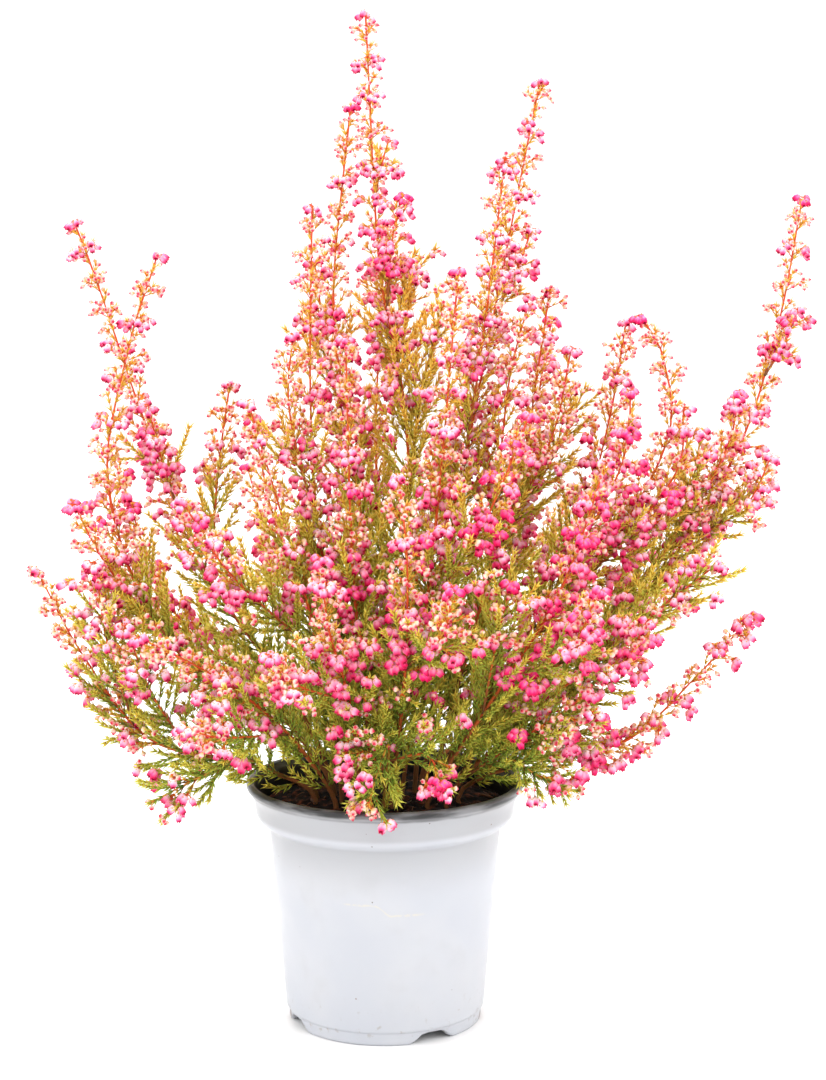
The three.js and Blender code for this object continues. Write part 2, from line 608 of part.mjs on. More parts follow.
function segmentDistance(a, b, c, d) {
  let least = Infinity;
  const spot = vec();
  const line = new THREE.Line3(c, d);
  const steps = 8;
  for (let step = 0; step <= steps; step += 1) {
    const probe = a.clone().lerp(b, step / steps);
    line.closestPointToPoint(probe, true, spot);
    least = Math.min(least, probe.distanceTo(spot));
  }
  return least;
}

// The space that a twig takes, as rounded rods
function twigRods(twig) {
  const start = twig.line.getPoint(0.2);
  const end = twig.line.getPoint(1);
  if (twig.kind === LEAFY) {
    return [{ a: start, b: end, radius: LEAFY_REACH }];
  }
  const middle = twig.line.getPoint(0.6);
  const head = end.clone().addScaledVector(twig.line.getTangent(1), HEAD_LENGTH);
  return [
    { a: start, b: middle, radius: STALK_RADIUS },
    { a: end, b: head, radius: HEAD_REACH },
  ];
}

function isClear(twig, ownStem, taken) {
  for (const rod of twigRods(twig)) {
    for (const other of taken) {
      if (other.stem === ownStem) {
        continue;
      }
      const least = rod.radius + other.radius + CLEAR_GAP;
      if (segmentDistance(rod.a, rod.b, other.a, other.b) < least) {
        return false;
      }
    }
  }
  return true;
}

function addTwig(shoot, twig, taken) {
  if (isClear(twig, shoot, taken)) {
    shoot.twigs.push(twig);
    for (const rod of twigRods(twig)) {
      taken.push({ ...rod, stem: twig });
    }
  }
}

// Side twigs of one kind along a stem, left out where they would cross another
function addSideTwigs(shoot, kind, taken) {
  const { stem, spec } = shoot;
  const [from, to] = kind === BLOOM ? spec.bloom : spec.leaf;
  const count = Math.floor(((to - from) * stem.length) / kind.step);
  for (let order = kind.every / 2; order < count; order += kind.every) {
    const along = from + (order * kind.step) / stem.length;
    addTwig(shoot, sideTwig(shoot, along, order, kind), taken);
  }
}

function makePlants() {
  const shoots = [];
  const taken = [];
  PLANTS.forEach((plant, plantNumber) => {
    stemsOf(plant).forEach((stem, shootNumber) => {
      const seed = plantNumber * 10 + shootNumber;
      const shoot = { plant, stem, spec: plant.shoots[shootNumber], seed, twigs: [] };
      for (let mark = 0; mark < stem.steps; mark += 1) {
        const radius = stemRadius(stem, mark / stem.steps);
        taken.push({ a: stem.marks[mark], b: stem.marks[mark + 1], radius, stem: shoot });
      }
      shoots.push(shoot);
    });
  });
  for (const shoot of shoots) {
    const kind = shoot.spec.leaf[1] === 1 ? LEAFY : BLOOM;
    addTwig(shoot, endTwig(shoot.stem, kind), taken);
  }
  shoots.forEach((shoot) => addSideTwigs(shoot, LEAFY, taken));
  shoots.forEach((shoot) => addSideTwigs(shoot, BLOOM, taken));
  return PLANTS.map((plant) => {
    let solid = null;
    for (const shoot of shoots.filter((one) => one.plant === plant)) {
      const stem = stemSolid(shoot.stem);
      solid = solid === null ? stem : solid.add(stem);
      for (const twig of shoot.twigs) {
        solid = solid.add(twig.kind === BLOOM ? umbel(twig) : leafyTwig(twig));
      }
    }
    return meshOf(plant.name, solid, HEATH_PINK, 0.6);
  });
}

const heath = new THREE.Group();
heath.add(meshOf('pot', makePot(), WHITE_PLASTIC, 0.45));
heath.add(meshOf('soil', makeSoil(), DARK_PEAT, 0.95));
heath.add(...makePlants());

export default heath;
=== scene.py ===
import functools
import math
from collections import namedtuple

import bpy
import numpy as np
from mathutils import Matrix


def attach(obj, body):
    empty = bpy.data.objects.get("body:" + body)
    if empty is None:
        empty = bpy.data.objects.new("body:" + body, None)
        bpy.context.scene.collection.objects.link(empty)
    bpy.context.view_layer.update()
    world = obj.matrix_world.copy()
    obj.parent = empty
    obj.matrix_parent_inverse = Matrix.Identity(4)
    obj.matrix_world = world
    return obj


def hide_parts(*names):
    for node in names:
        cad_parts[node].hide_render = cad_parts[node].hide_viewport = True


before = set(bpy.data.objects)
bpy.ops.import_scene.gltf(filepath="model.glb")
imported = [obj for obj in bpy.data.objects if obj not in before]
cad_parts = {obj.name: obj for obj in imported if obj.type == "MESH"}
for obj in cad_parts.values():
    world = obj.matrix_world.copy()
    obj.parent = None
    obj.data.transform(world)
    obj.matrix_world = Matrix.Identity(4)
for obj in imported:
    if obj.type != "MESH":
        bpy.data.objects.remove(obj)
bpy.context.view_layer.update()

MM = 0.001


# Camera: it stands a metre in front of the pot, a little to its right and 35 cm above the table,
# and looks nine degrees down, which is what the ellipses of the pot's lip and foot show.
CAMERA_PLACE = (11.1 * MM, -1000 * MM, 349 * MM)
CAMERA_DOWN = math.radians(8.9)
SENSOR_WIDTH = 36
PICTURE_TALL = 1080
FOCAL_IN_PIXELS = 2596

camera_lens = bpy.data.cameras.new("photo_lens")
camera_lens.sensor_width = SENSOR_WIDTH
camera_lens.lens = SENSOR_WIDTH * FOCAL_IN_PIXELS / PICTURE_TALL
camera = bpy.data.objects.new("photo_camera", camera_lens)
camera.location = CAMERA_PLACE
camera.rotation_euler = (math.pi / 2 - CAMERA_DOWN, 0, 0)
bpy.context.scene.collection.objects.link(camera)
bpy.context.scene.camera = camera


# Studio: one seamless sheet of pale paper, flat under the pot and rising all round like a shallow bowl,
# with large soft lamps on all sides, so that nearly all shadow is filled.
FLOOR_FLAT = 2.2
SWEEP_RISE = 0.9
SWEEP_RINGS = 24
SWEEP_SIDES = 96
FLOOR_COLOUR = (0.90, 0.90, 0.90, 1)
FLOOR_DIMMEST = (0.8865, 0.8865, 0.8865, 1)
LAMP_WIDTH = 1.4
LAMP_AIM = (0, 0, 0.2)
LAMPS = (
    ("left_softbox", (-1.6, -0.6, 1.1), 16),
    ("right_softbox", (1.7, -0.5, 1.0), 14),
    ("front_softbox", (0.2, -1.9, 1.6), 14),
    ("top_softbox", (0.0, 0.2, 2.0), 18),
    ("backdrop_lamp", (0.0, 1.4, 1.9), 22),
)
ROOM_COLOUR = (1, 1, 1, 1)
ROOM_STRENGTH = 1.0
MAP_NAME = "OFBake"


def make_piece(name, points, faces, material, uv=None):
    """A mesh from an array of points in metres and arrays of corner numbers, three or four to a face,
    smooth shaded; uv holds a place on the material's map for each point."""
    corners = np.concatenate([part.ravel() for part in faces])
    sizes = np.concatenate([np.full(len(part), part.shape[1]) for part in faces])
    starts = np.concatenate([[0], np.cumsum(sizes)[:-1]])
    mesh = bpy.data.meshes.new(name)
    mesh.vertices.add(len(points))
    mesh.vertices.foreach_set("co", np.asarray(points, np.float32).ravel())
    mesh.loops.add(len(corners))
    mesh.loops.foreach_set("vertex_index", corners.astype(np.int32))
    mesh.polygons.add(len(sizes))
    mesh.polygons.foreach_set("loop_start", starts.astype(np.int32))
    mesh.update(calc_edges=True)
    mesh.shade_smooth()
    if uv is not None:
        layer = mesh.uv_layers.new(name=MAP_NAME)
        layer.uv.foreach_set("vector", np.asarray(uv, np.float32)[corners].ravel())
    mesh.materials.append(material)
    piece = bpy.data.objects.new(name, mesh)
    bpy.context.scene.collection.objects.link(piece)
    return piece


def ring_quads(rings, sides):
    """The faces between neighbouring rings, whose points are numbered ring by ring, each ring closed."""
    row, column = np.meshgrid(np.arange(rings - 1), np.arange(sides), indexing="ij")
    after = (column + 1) % sides
    return np.stack([
        row * sides + column, row * sides + after, (row + 1) * sides + after, (row + 1) * sides + column,
    ], axis=-1).reshape(-1, 4)


def turned_surface(radii, levels, sides):
    """A profile turned about Z: point (i, j) is (r_i cos a_j, r_i sin a_j, z_i), a_j going round once."""
    angles = np.arange(sides) * 2 * np.pi / sides
    points = np.stack([
        radii[:, None] * np.cos(angles),
        radii[:, None] * np.sin(angles),
        np.broadcast_to(levels[:, None], (len(levels), sides)),
    ], axis=-1)
    return points, ring_quads(len(radii), sides)


def new_material(name, roughness, specular=0.5):
    """A material with its shader's own sockets set; returns it with its node tree and its shader."""
    material = bpy.data.materials.new(name)
    material.use_nodes = True
    shader = material.node_tree.nodes["Principled BSDF"]
    shader.inputs["Roughness"].default_value = roughness
    shader.inputs["Specular IOR Level"].default_value = specular
    return material, material.node_tree, shader


def add_node(tree, kind, inputs, **values):
    """A node with its own values, whose inputs each take a number, a colour or another node's output."""
    node = tree.nodes.new(kind)
    for key, value in values.items():
        setattr(node, key, value)
    for key, value in inputs.items():
        if isinstance(value, bpy.types.NodeSocket):
            tree.links.new(value, node.inputs[key])
        else:
            node.inputs[key].default_value = value
    return node


def mixed_colour(tree, share, first, second, blend="MIX"):
    """Two colours mixed: first (1 - share) + second share, or first times second by that share. The mixing
    node has a set of sockets for each kind of value, and the sixth, seventh and second are the colours'."""
    sockets = {0: share, 6: first, 7: second}
    return add_node(tree, "ShaderNodeMix", sockets, data_type="RGBA", blend_type=blend).outputs[2]


def paper_sweep():
    """Matt pale paper with a very faint unevenness."""
    material, tree, shader = new_material("studio_paper", roughness=0.9)
    clouds = add_node(tree, "ShaderNodeTexNoise", {"Scale": 3}).outputs["Fac"]
    tree.links.new(mixed_colour(tree, clouds, FLOOR_DIMMEST, FLOOR_COLOUR), shader.inputs["Base Color"])
    return material


sweep_turn = np.linspace(0, np.pi / 2, SWEEP_RINGS)
sweep_radii = np.concatenate([[0.0], FLOOR_FLAT + SWEEP_RISE * np.sin(sweep_turn)])
sweep_levels = np.concatenate([[0.0], SWEEP_RISE * (1 - np.cos(sweep_turn))])
sweep_points, sweep_quads = turned_surface(sweep_radii, sweep_levels, SWEEP_SIDES)
sweep = make_piece("studio_sweep", sweep_points.reshape(-1, 3), [sweep_quads], paper_sweep())

for lamp_name, place, power in LAMPS:
    lamp = bpy.data.lights.new(lamp_name, "AREA")
    lamp.size = LAMP_WIDTH
    lamp.energy = power
    lamp_object = bpy.data.objects.new(lamp_name, lamp)
    lamp_object.location = place
    aim = np.array(LAMP_AIM) - np.array(place)
    lamp_object.rotation_euler = (
        math.atan2(math.hypot(aim[0], aim[1]), -aim[2]), 0, math.atan2(-aim[0], aim[1]),
    )
    bpy.context.scene.collection.objects.link(lamp_object)

room = bpy.data.worlds.new("bright_room")
room.use_nodes = True
room_light = room.node_tree.nodes["Background"]
room_light.inputs["Color"].default_value = ROOM_COLOUR
room_light.inputs["Strength"].default_value = ROOM_STRENGTH
bpy.context.scene.world = room
bpy.context.scene.view_settings.view_transform = "Standard"


# Pot: an 11 cm nursery pot, moulded in one piece from two layers of plastic, white outside and black
# inside. The lip curls out, a collar lies under it, and the foot ring is cut by four drainage notches.
LIP_RADIUS = 55
POT_HEIGHT = 97
COLLAR_RADIUS = 51.3
COLLAR_TOP = 89
COLLAR_BOTTOM = 83.4
BODY_TOP_RADIUS = 45.8
BODY_TOP = 79.5
BODY_BOTTOM_RADIUS = 39.3
BODY_BOTTOM = 5.6
FOOT_RADIUS = 38.2
WALL = 1.2
FLOOR_LEVEL = 8
FLOOR_RADIUS = 38.4
BOSS_RADIUS = 7
NOTCH_TALL = 4.4
NOTCH_HALF_TURN = math.radians(10)
NOTCH_SOFTNESS = math.radians(5)
NOTCH_TURNS = np.radians([-60, 30, 118, 204])
BLACK_ABOVE_COLLAR = 3
BLACK_FADE = 3
POT_SIDES = 96
CORNER_STEPS = 5
LONGEST_BAND = 12
CREASE_LEVEL = 58 * MM
CREASE_DROP = 4.2 * MM
CREASE_WANDER = 1.2 * MM
SCRATCH_DEPTH = 0.4 * MM


def painted(red, green, blue):
    """A screen's colour (0 to 255) as the light that it stands for. With c as a share of 255 that is
    ((c + 0.055) / 1.055) ^ 2.4, or c / 12.92 for the darkest."""
    shares = np.array([red, green, blue]) / 255
    light = np.where(shares <= 0.04045, shares / 12.92, ((shares + 0.055) / 1.055) ** 2.4)
    return (*light.tolist(), 1.0)


def summed(tree, operation, *values):
    """Numbers put together by an operation of the shader's, such as MULTIPLY or LESS_THAN."""
    return add_node(tree, "ShaderNodeMath", dict(enumerate(values)), operation=operation).outputs[0]


def share_between(tree, value, low, high, easing="SMOOTHSTEP"):
    """0 up to low and 1 from high on, or the other way round where low is the larger. Between them stands the
    share s itself for LINEAR, or else 3 s^2 - 2 s^3."""
    sockets = {"Value": value, "From Min": low, "From Max": high}
    return add_node(tree, "ShaderNodeMapRange", sockets, interpolation_type=easing).outputs["Result"]


def rounded_profile(corners, bends):
    """A profile whose corners are cut by parabolas: each corner c becomes the curve (1 - t)^2 a +
    2 t (1 - t) c + t^2 b, where a and b lie on the profile at the bend's distance before and after it."""
    corners = np.array(corners, float)
    steps = np.linspace(0, 1, CORNER_STEPS)[:, None]
    points = [corners[:1]]
    for before, corner, after, bend in zip(corners[:-2], corners[1:-1], corners[2:], bends[1:-1]):
        back, on = before - corner, after - corner
        start = corner + back * min(0.5, bend / np.linalg.norm(back))
        end = corner + on * min(0.5, bend / np.linalg.norm(on))
        points.append((1 - steps) ** 2 * start + 2 * steps * (1 - steps) * corner + steps ** 2 * end)
    points.append(corners[-1:])
    return np.concatenate(points)


def pot_plastic():
    """White plastic outside and black inside and on the lip, with scuffs, dirt specks and one pale crease,
    and painted shade over the collar and the body's top, where the ledge is left light as a painted
    highlight.
    Places are in metres, as the pot stands: x to the right, y to the back, z up."""
    material, tree, shader = new_material("pot_plastic", roughness=0.38)
    sums, between, mixed = (functools.partial(make, tree) for make in (summed, share_between, mixed_colour))
    place = add_node(tree, "ShaderNodeTexCoord", {}).outputs["Object"]
    x, y, z = add_node(tree, "ShaderNodeSeparateXYZ", {0: place}).outputs
    black = add_node(tree, "ShaderNodeAttribute", {}, attribute_name="black").outputs["Fac"]

    def clouds(scale, detail=3.0, stretch=(1, 1, 1)):
        moved = add_node(tree, "ShaderNodeMapping", {"Vector": place, "Scale": stretch}).outputs[0]
        sockets = {"Vector": moved, "Scale": scale, "Detail": detail}
        return add_node(tree, "ShaderNodeTexNoise", sockets).outputs["Fac"]

    def product(*values):
        return functools.reduce(functools.partial(sums, "MULTIPLY"), values)

    # The white layer: a cool white, a little uneven and greyer in rubbed clouds, with painted shade over the
    # collar and the body's top, and the ledge between them left lighter as a painted highlight
    white = mixed(between(clouds(28), 0.35, 0.7), painted(181, 184, 191), painted(187, 189, 194))
    rubbed = product(between(clouds(60, 5), 0.55, 0.8), 0.3)
    white = mixed(rubbed, white, painted(170, 170, 173))
    # Painted shade: the collar and the body's top are greyed below the lip and plant; the ledge stays lighter
    # as a painted highlight
    painted_highlight_ledge = product(between(z, 0.079, 0.0815), between(z, 0.0855, 0.0835))
    painted_shade_under_lip = product(between(z, 0.058, 0.08), sums("SUBTRACT", 1.0, painted_highlight_ledge), 0.75)
    white = mixed(painted_shade_under_lip, white, painted(160, 161, 164))

    # Peat dust near the foot, a brown stain at its sides, and specks all over
    low_down = between(z, 0.022, 0.004)
    dust = product(low_down, between(clouds(330, 6), 0.6, 0.74))
    white = mixed(product(dust, 0.45), white, painted(140, 122, 100))
    side = between(sums("ABSOLUTE", x), 0.034, 0.0385)
    stain = product(side, between(z, 0.010, 0.003), between(clouds(230, 4), 0.5, 0.62), 0.8)
    white = mixed(stain, white, painted(104, 66, 44))
    cells = add_node(tree, "ShaderNodeTexVoronoi", {"Vector": place, "Scale": 460})
    pick, size, tint = add_node(tree, "ShaderNodeSeparateColor", {0: cells.outputs["Color"]}).outputs
    chosen = sums("GREATER_THAN", pick, sums("SUBTRACT", 0.95, product(low_down, 0.06)))
    near = sums("LESS_THAN", cells.outputs["Distance"], product(size, 0.16))
    speck = product(chosen, near)
    white = mixed(product(speck, 0.8), white, mixed(tint, painted(58, 46, 40), painted(126, 96, 74)))

    # One pale crease in the front: level, a short step down, then level again
    drop = product(between(x, -0.004, 0.003), CREASE_DROP)
    wander = product(sums("SUBTRACT", clouds(300, 2), 0.5), CREASE_WANDER)
    level = sums("SUBTRACT", CREASE_LEVEL, drop)
    off = sums("ABSOLUTE", sums("SUBTRACT", sums("ADD", z, wander), level))
    ends = product(between(x, -0.0165, -0.013), between(x, 0.017, 0.012))
    broken = between(clouds(420, 3), 0.34, 0.52)
    crease = product(between(off, 0.0006, 0.0002), ends, sums("LESS_THAN", y, 0.0), broken, 0.5)
    white = mixed(crease, white, painted(206, 199, 180))

    # The black layer, scuffed grey along the lip
    streaks = between(clouds(42, 6, (1, 1, 7)), 0.42, 0.66)
    outside = between(black, 0.99, 0.6)
    scuffed = product(sums("ADD", streaks, outside), 0.6, between(z, 0.092, 0.0945))
    dark = mixed(scuffed, painted(30, 30, 31), painted(150, 151, 154))
    edge = sums("ADD", black, product(sums("SUBTRACT", clouds(150, 4), 0.5), 0.3))
    tree.links.new(mixed(between(edge, 0.12, 0.6), white, dark), shader.inputs["Base Color"])

    rough = sums("ADD", product(clouds(120, 4), 0.22), product(dust, 0.4))
    tree.links.new(sums("ADD", rough, 0.24), shader.inputs["Roughness"])
    relief = {"Height": sums("ADD", clouds(70, 4), speck), "Strength": 0.12, "Distance": SCRATCH_DEPTH}
    tree.links.new(add_node(tree, "ShaderNodeBump", relief).outputs[0], shader.inputs["Normal"])
    return material


def make_pot():
    """The turned shell. Within a notch, every point of the foot ring below the notch's roof is lifted to it:
    z becomes z + (roof - z) w, where w falls smoothly from 1 to 0 at the notch's two sides. Each corner of
    the profile is its radius, its level and how far its rounding reaches."""
    under = FLOOR_LEVEL - WALL
    ring_inside = FOOT_RADIUS - 2 * WALL
    outer = [
        (0, 0, 0), (BOSS_RADIUS, 0, 0.8), (BOSS_RADIUS, under, 1),
        (ring_inside, under, 1), (ring_inside, 0, 0.6), (FOOT_RADIUS, 0, 1.6),
        (FOOT_RADIUS + 0.2, BODY_BOTTOM - 0.5, 0.3),
        (BODY_BOTTOM_RADIUS, BODY_BOTTOM, 1.2), (BODY_TOP_RADIUS, BODY_TOP, 1.5),
        (COLLAR_RADIUS - 0.2, COLLAR_BOTTOM - 0.4, 2.6), (COLLAR_RADIUS, COLLAR_TOP, 3),
        (LIP_RADIUS - 2, POT_HEIGHT - 4.6, 2.5), (LIP_RADIUS, POT_HEIGHT - 2.2, 1.4),
        (LIP_RADIUS - 0.5, POT_HEIGHT, 1.4),
    ]
    inner = [
        (LIP_RADIUS - 3.2, POT_HEIGHT, 1.2), (COLLAR_RADIUS - WALL, COLLAR_TOP, 2),
        (COLLAR_RADIUS - WALL, COLLAR_BOTTOM, 2), (BODY_TOP_RADIUS - WALL, BODY_TOP, 1.5),
        (FLOOR_RADIUS, FLOOR_LEVEL, 1), (0, FLOOR_LEVEL, 0),
    ]
    profile = rounded_profile([(r, z) for r, z, _ in outer + inner], [bend for _, _, bend in outer + inner])
    bands = [
        np.linspace(a, b, max(2, int(np.linalg.norm(b - a) / LONGEST_BAND)))[:-1]
        for a, b in zip(profile[:-1], profile[1:])
    ]
    profile = np.concatenate(bands + [profile[-1:]])
    keep = np.concatenate([[True], np.linalg.norm(np.diff(profile, axis=0), axis=1) > 1e-6])
    radii, levels = profile[keep].T.copy()
    radii[[0, -1]] = 0.001
    points, quads = turned_surface(radii, levels, POT_SIDES)

    angles = np.arange(POT_SIDES) * 2 * np.pi / POT_SIDES
    off = np.abs((angles[:, None] - NOTCH_TURNS + np.pi) % (2 * np.pi) - np.pi).min(axis=1)
    inside = np.clip((NOTCH_HALF_TURN + NOTCH_SOFTNESS - off) / (2 * NOTCH_SOFTNESS), 0, 1)
    inside = inside * inside * (3 - 2 * inside)
    lift = np.clip(NOTCH_TALL - points[..., 2], 0, None) * inside
    lift[radii < FOOT_RADIUS - 3 * WALL] = 0
    points[..., 2] += lift

    outermost = int(np.argmax(radii))
    black = np.clip((levels - COLLAR_TOP - BLACK_ABOVE_COLLAR) / BLACK_FADE, 0, 1)
    black[outermost:] = 1
    pot = make_piece("pot_shell", points.reshape(-1, 3) * MM, [quads], pot_plastic())
    mark = pot.data.attributes.new("black", "FLOAT", "POINT")
    mark.data.foreach_set("value", np.repeat(black, POT_SIDES).astype(np.float32))
    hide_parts("pot")
    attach(pot, "root")


make_pot()


# Peat: dark, moist and crumbly, filled to a few millimetres under the lip and heaped a little in the
# middle, with lighter fibres and bits of bark lying on it.
SOIL_RADIUS = 49.4
SOIL_CROWN = 90.4
SOIL_EDGE = 86.6
SOIL_RINGS = 40
SOIL_SIDES = 108
SOIL_WAIST = (44.0, BODY_TOP)
SOIL_FOOT = (38.0, FLOOR_LEVEL + 0.4)
CENTRE_HOLE = 0.02
CRUMBS = 2600
CRUMB_SMALLEST = 0.8
CRUMB_SPREAD = 2.4
CRUMB_BASE = 1.2
DEEPEST_GAP = 0.4
FIBRES = 190
FIBRE_POINTS = 5
FIBRE_SHORTEST = 1.5
FIBRE_SPREAD = 7
FIBRE_THINNEST = 0.18
FIBRE_THICKENING = 0.5
FIBRE_TAPER = (0.6, 1, 1.1, 1, 0.6)
FIBRE_LIFT = 0.25
RIM_GAP = 1.5


def unit(vectors):
    """Each vector over its length."""
    return vectors / np.maximum(np.linalg.norm(vectors, axis=-1, keepdims=True), 1e-12)


def frames_along(lines):
    """For each point of each line: its direction d, across = d x axis and over = d x across, where the axis
    is the one of X and Y that the whole line points along least."""
    direction = unit(np.gradient(lines, axis=-2))
    reach = unit(lines[..., -1, :] - lines[..., 0, :])
    along_y = np.abs(reach[..., 1]) >= 0.6
    axis = np.where(along_y[..., None], np.array([1.0, 0, 0]), np.array([0, 1.0, 0]))
    across = unit(np.cross(direction, axis[..., None, :]))
    return across, np.cross(direction, across)


def sweep_rods(lines, radii, sides, shade):
    """Round rods, one to a line: ring point = centre + radius (cos a across + sin a over), closed by a point
    at each end. The map's first number runs along the rod, its second is the rod's shade."""
    count, steps, _ = lines.shape
    across, over = frames_along(lines)
    angle = np.arange(sides) * 2 * np.pi / sides
    spokes = np.cos(angle)[:, None] * across[:, :, None] + np.sin(angle)[:, None] * over[:, :, None]
    rings = lines[:, :, None] + radii[:, :, None, None] * spokes
    points = np.concatenate([rings.reshape(count, steps * sides, 3), lines[:, :1], lines[:, -1:]], axis=1)
    side = np.arange(sides)
    turn = (side + 1) % sides
    first, last = steps * sides, steps * sides + 1
    top = (steps - 1) * sides
    ends = np.concatenate([
        np.stack([np.full(sides, first), turn, side], axis=-1),
        np.stack([np.full(sides, last), top + side, top + turn], axis=-1),
    ])
    offsets = (np.arange(count) * points.shape[1])[:, None, None]
    along = np.concatenate([np.repeat(np.linspace(0, 1, steps), sides), [0, 1]])
    uv = np.stack(np.broadcast_arrays(along[None], shade[:, None]), axis=-1)
    faces = [(ring_quads(steps, sides) + offsets).reshape(-1, 4), (ends + offsets).reshape(-1, 3)]
    return points.reshape(-1, 3), faces, uv.reshape(-1, 2)


def soil_height(x, y):
    """The heap's height: its crown less a parabola to the edge, under the highest of many small domes. A
    dome is sqrt(size^2 - gap^2) less its sink, for a gap measured from its middle."""
    dice = np.random.default_rng(41)
    reach = SOIL_RADIUS * np.sqrt(dice.random(CRUMBS))
    turn = dice.random(CRUMBS) * 2 * np.pi
    size = CRUMB_SMALLEST + CRUMB_SPREAD * dice.random(CRUMBS) ** 2.2
    sink = size * dice.uniform(0.15, 0.75, CRUMBS)
    gap2 = (x[:, None] - reach * np.cos(turn)) ** 2 + (y[:, None] - reach * np.sin(turn)) ** 2
    domes = np.sqrt(np.clip(size ** 2 - gap2, 0, None)) - sink
    ground = SOIL_CROWN - (SOIL_CROWN - SOIL_EDGE) * (x ** 2 + y ** 2) / SOIL_RADIUS ** 2
    return ground - CRUMB_BASE + np.clip(domes.max(axis=1), -DEEPEST_GAP, None)


def painted_ramp(tree, number, *stops):
    """The colour for a number from 0 to 1, straight between stops in rising order. Each stop is its place
    and its red, green and blue, as painted takes them."""
    ramp = add_node(tree, "ShaderNodeValToRGB", {"Fac": number})
    elements = ramp.color_ramp.elements
    while len(elements) < len(stops):
        elements.new(0.5)
    for element, (place, *colour) in zip(elements, stops):
        element.position = place
        element.color = painted(*colour)
    return ramp.outputs["Color"]


def peat():
    """Near-black brown with warmer crumbs, rough and hardly shining."""
    material, tree, shader = new_material("peat", roughness=0.85, specular=0.1)
    place = add_node(tree, "ShaderNodeTexCoord", {}).outputs["Object"]
    clods = add_node(tree, "ShaderNodeTexNoise", {"Vector": place, "Scale": 260, "Detail": 6}).outputs["Fac"]
    colour = painted_ramp(
        tree, clods, (0.38, 4, 2, 1), (0.5, 20, 10, 6), (0.58, 58, 30, 18), (0.7, 112, 62, 38),
    )
    bump = add_node(tree, "ShaderNodeBump", {"Height": clods, "Strength": 1.0, "Distance": 1.4 * MM})
    tree.links.new(colour, shader.inputs["Base Color"])
    tree.links.new(bump.outputs[0], shader.inputs["Normal"])
    return material


def map_numbers(tree):
    """The map that a piece is made with, and its two numbers: the place along an item, and its shade."""
    layout = add_node(tree, "ShaderNodeUVMap", {}, uv_map=MAP_NAME).outputs[0]
    along, shade, _ = add_node(tree, "ShaderNodeSeparateXYZ", {0: layout}).outputs
    return layout, along, shade


def litter():
    """Fibres and bark crumbs: brown to straw, by their shade."""
    material, tree, shader = new_material("litter", roughness=0.8)
    _, _, shade = map_numbers(tree)
    colour = painted_ramp(tree, shade, (0.0, 20, 11, 8), (0.6, 56, 30, 20), (1.0, 112, 72, 44))
    tree.links.new(colour, shader.inputs["Base Color"])
    return material


def make_soil():
    """The top is a polar grid lifted to the heap's height; a side and a flat underside close the plug."""
    top_radii = np.linspace(CENTRE_HOLE, SOIL_RADIUS, SOIL_RINGS)[::-1]
    radii = np.array([CENTRE_HOLE, SOIL_FOOT[0], SOIL_WAIST[0], *top_radii])
    levels = np.array([SOIL_FOOT[1], SOIL_FOOT[1], SOIL_WAIST[1], *np.zeros(SOIL_RINGS)])
    points, quads = turned_surface(radii, levels, SOIL_SIDES)
    top = points[-SOIL_RINGS:]
    top[..., 2] = soil_height(top[..., 0].ravel(), top[..., 1].ravel()).reshape(SOIL_RINGS, SOIL_SIDES)
    soil = make_piece("peat_plug", points.reshape(-1, 3) * MM, [quads], peat())
    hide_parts("soil")
    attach(soil, "root")

    dice = np.random.default_rng(7)
    reach = (SOIL_RADIUS - 2) * np.sqrt(dice.random(FIBRES))
    turn = dice.random(FIBRES) * 2 * np.pi
    heading = dice.random(FIBRES) * np.pi
    length = FIBRE_SHORTEST + FIBRE_SPREAD * dice.random(FIBRES) ** 2
    share = np.linspace(-0.5, 0.5, FIBRE_POINTS)
    x = (reach * np.cos(turn))[:, None] + (length * np.cos(heading))[:, None] * share
    y = (reach * np.sin(turn))[:, None] + (length * np.sin(heading))[:, None] * share
    inside = np.minimum(1, (SOIL_RADIUS - RIM_GAP) / np.hypot(x, y))
    x, y = x * inside, y * inside
    ground = soil_height(x.ravel(), y.ravel()).reshape(x.shape)
    z = ground.max(axis=1, keepdims=True) * 0.5 + ground * 0.5 + FIBRE_LIFT
    lines = np.stack([x, y, z], axis=-1)
    width = (FIBRE_THINNEST + FIBRE_THICKENING * dice.random(FIBRES) ** 3)[:, None] * np.array(FIBRE_TAPER)
    points, faces, uv = sweep_rods(lines, width, 4, dice.random(FIBRES))
    bits = make_piece("peat_fibres", points * MM, faces, litter(), uv)
    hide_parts("soil")
    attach(bits, "root")


make_soil()


# Stems: every plant is a slim woody stem that stands in the peat, most with one to four forks. The bark is
# brown and knobbly at the foot, and the young wood is orange red up among the bells.
ROOT_LEVEL = 80.4
UPRIGHT_LENGTH = 14
STEM_POINTS = 32
STEM_SIDES = 6
STEM_RADIUS = 1.0
FORK_RADIUS = 0.55
TIP_RADIUS = 0.34
KNOBBLE = 0.12
KNOBBLE_PER_MM = 1.7
CURVE_POINTS = 400
WOODY_SHADE = 0.3
YOUNG_SHADE = 0.9
BLOOMS_LOW = 0.6
BARK_GRAIN = 0.3

# What is known of a shoot: fork is where it leaves the first stem, as a share of that (0 for the first stem
# itself), and path the points in mm that it goes through. leaf is the share of its length with needled twigs,
# and bloom where the tiers of bells begin, which go on to its end. blush is how deep a pink its bells are,
# open how many of its umbels are open, and twigs how long its needled twigs are, against the others'.
Shoot = namedtuple("Shoot", "fork path leaf bloom blush open twigs", defaults=(0.8, 1.0))

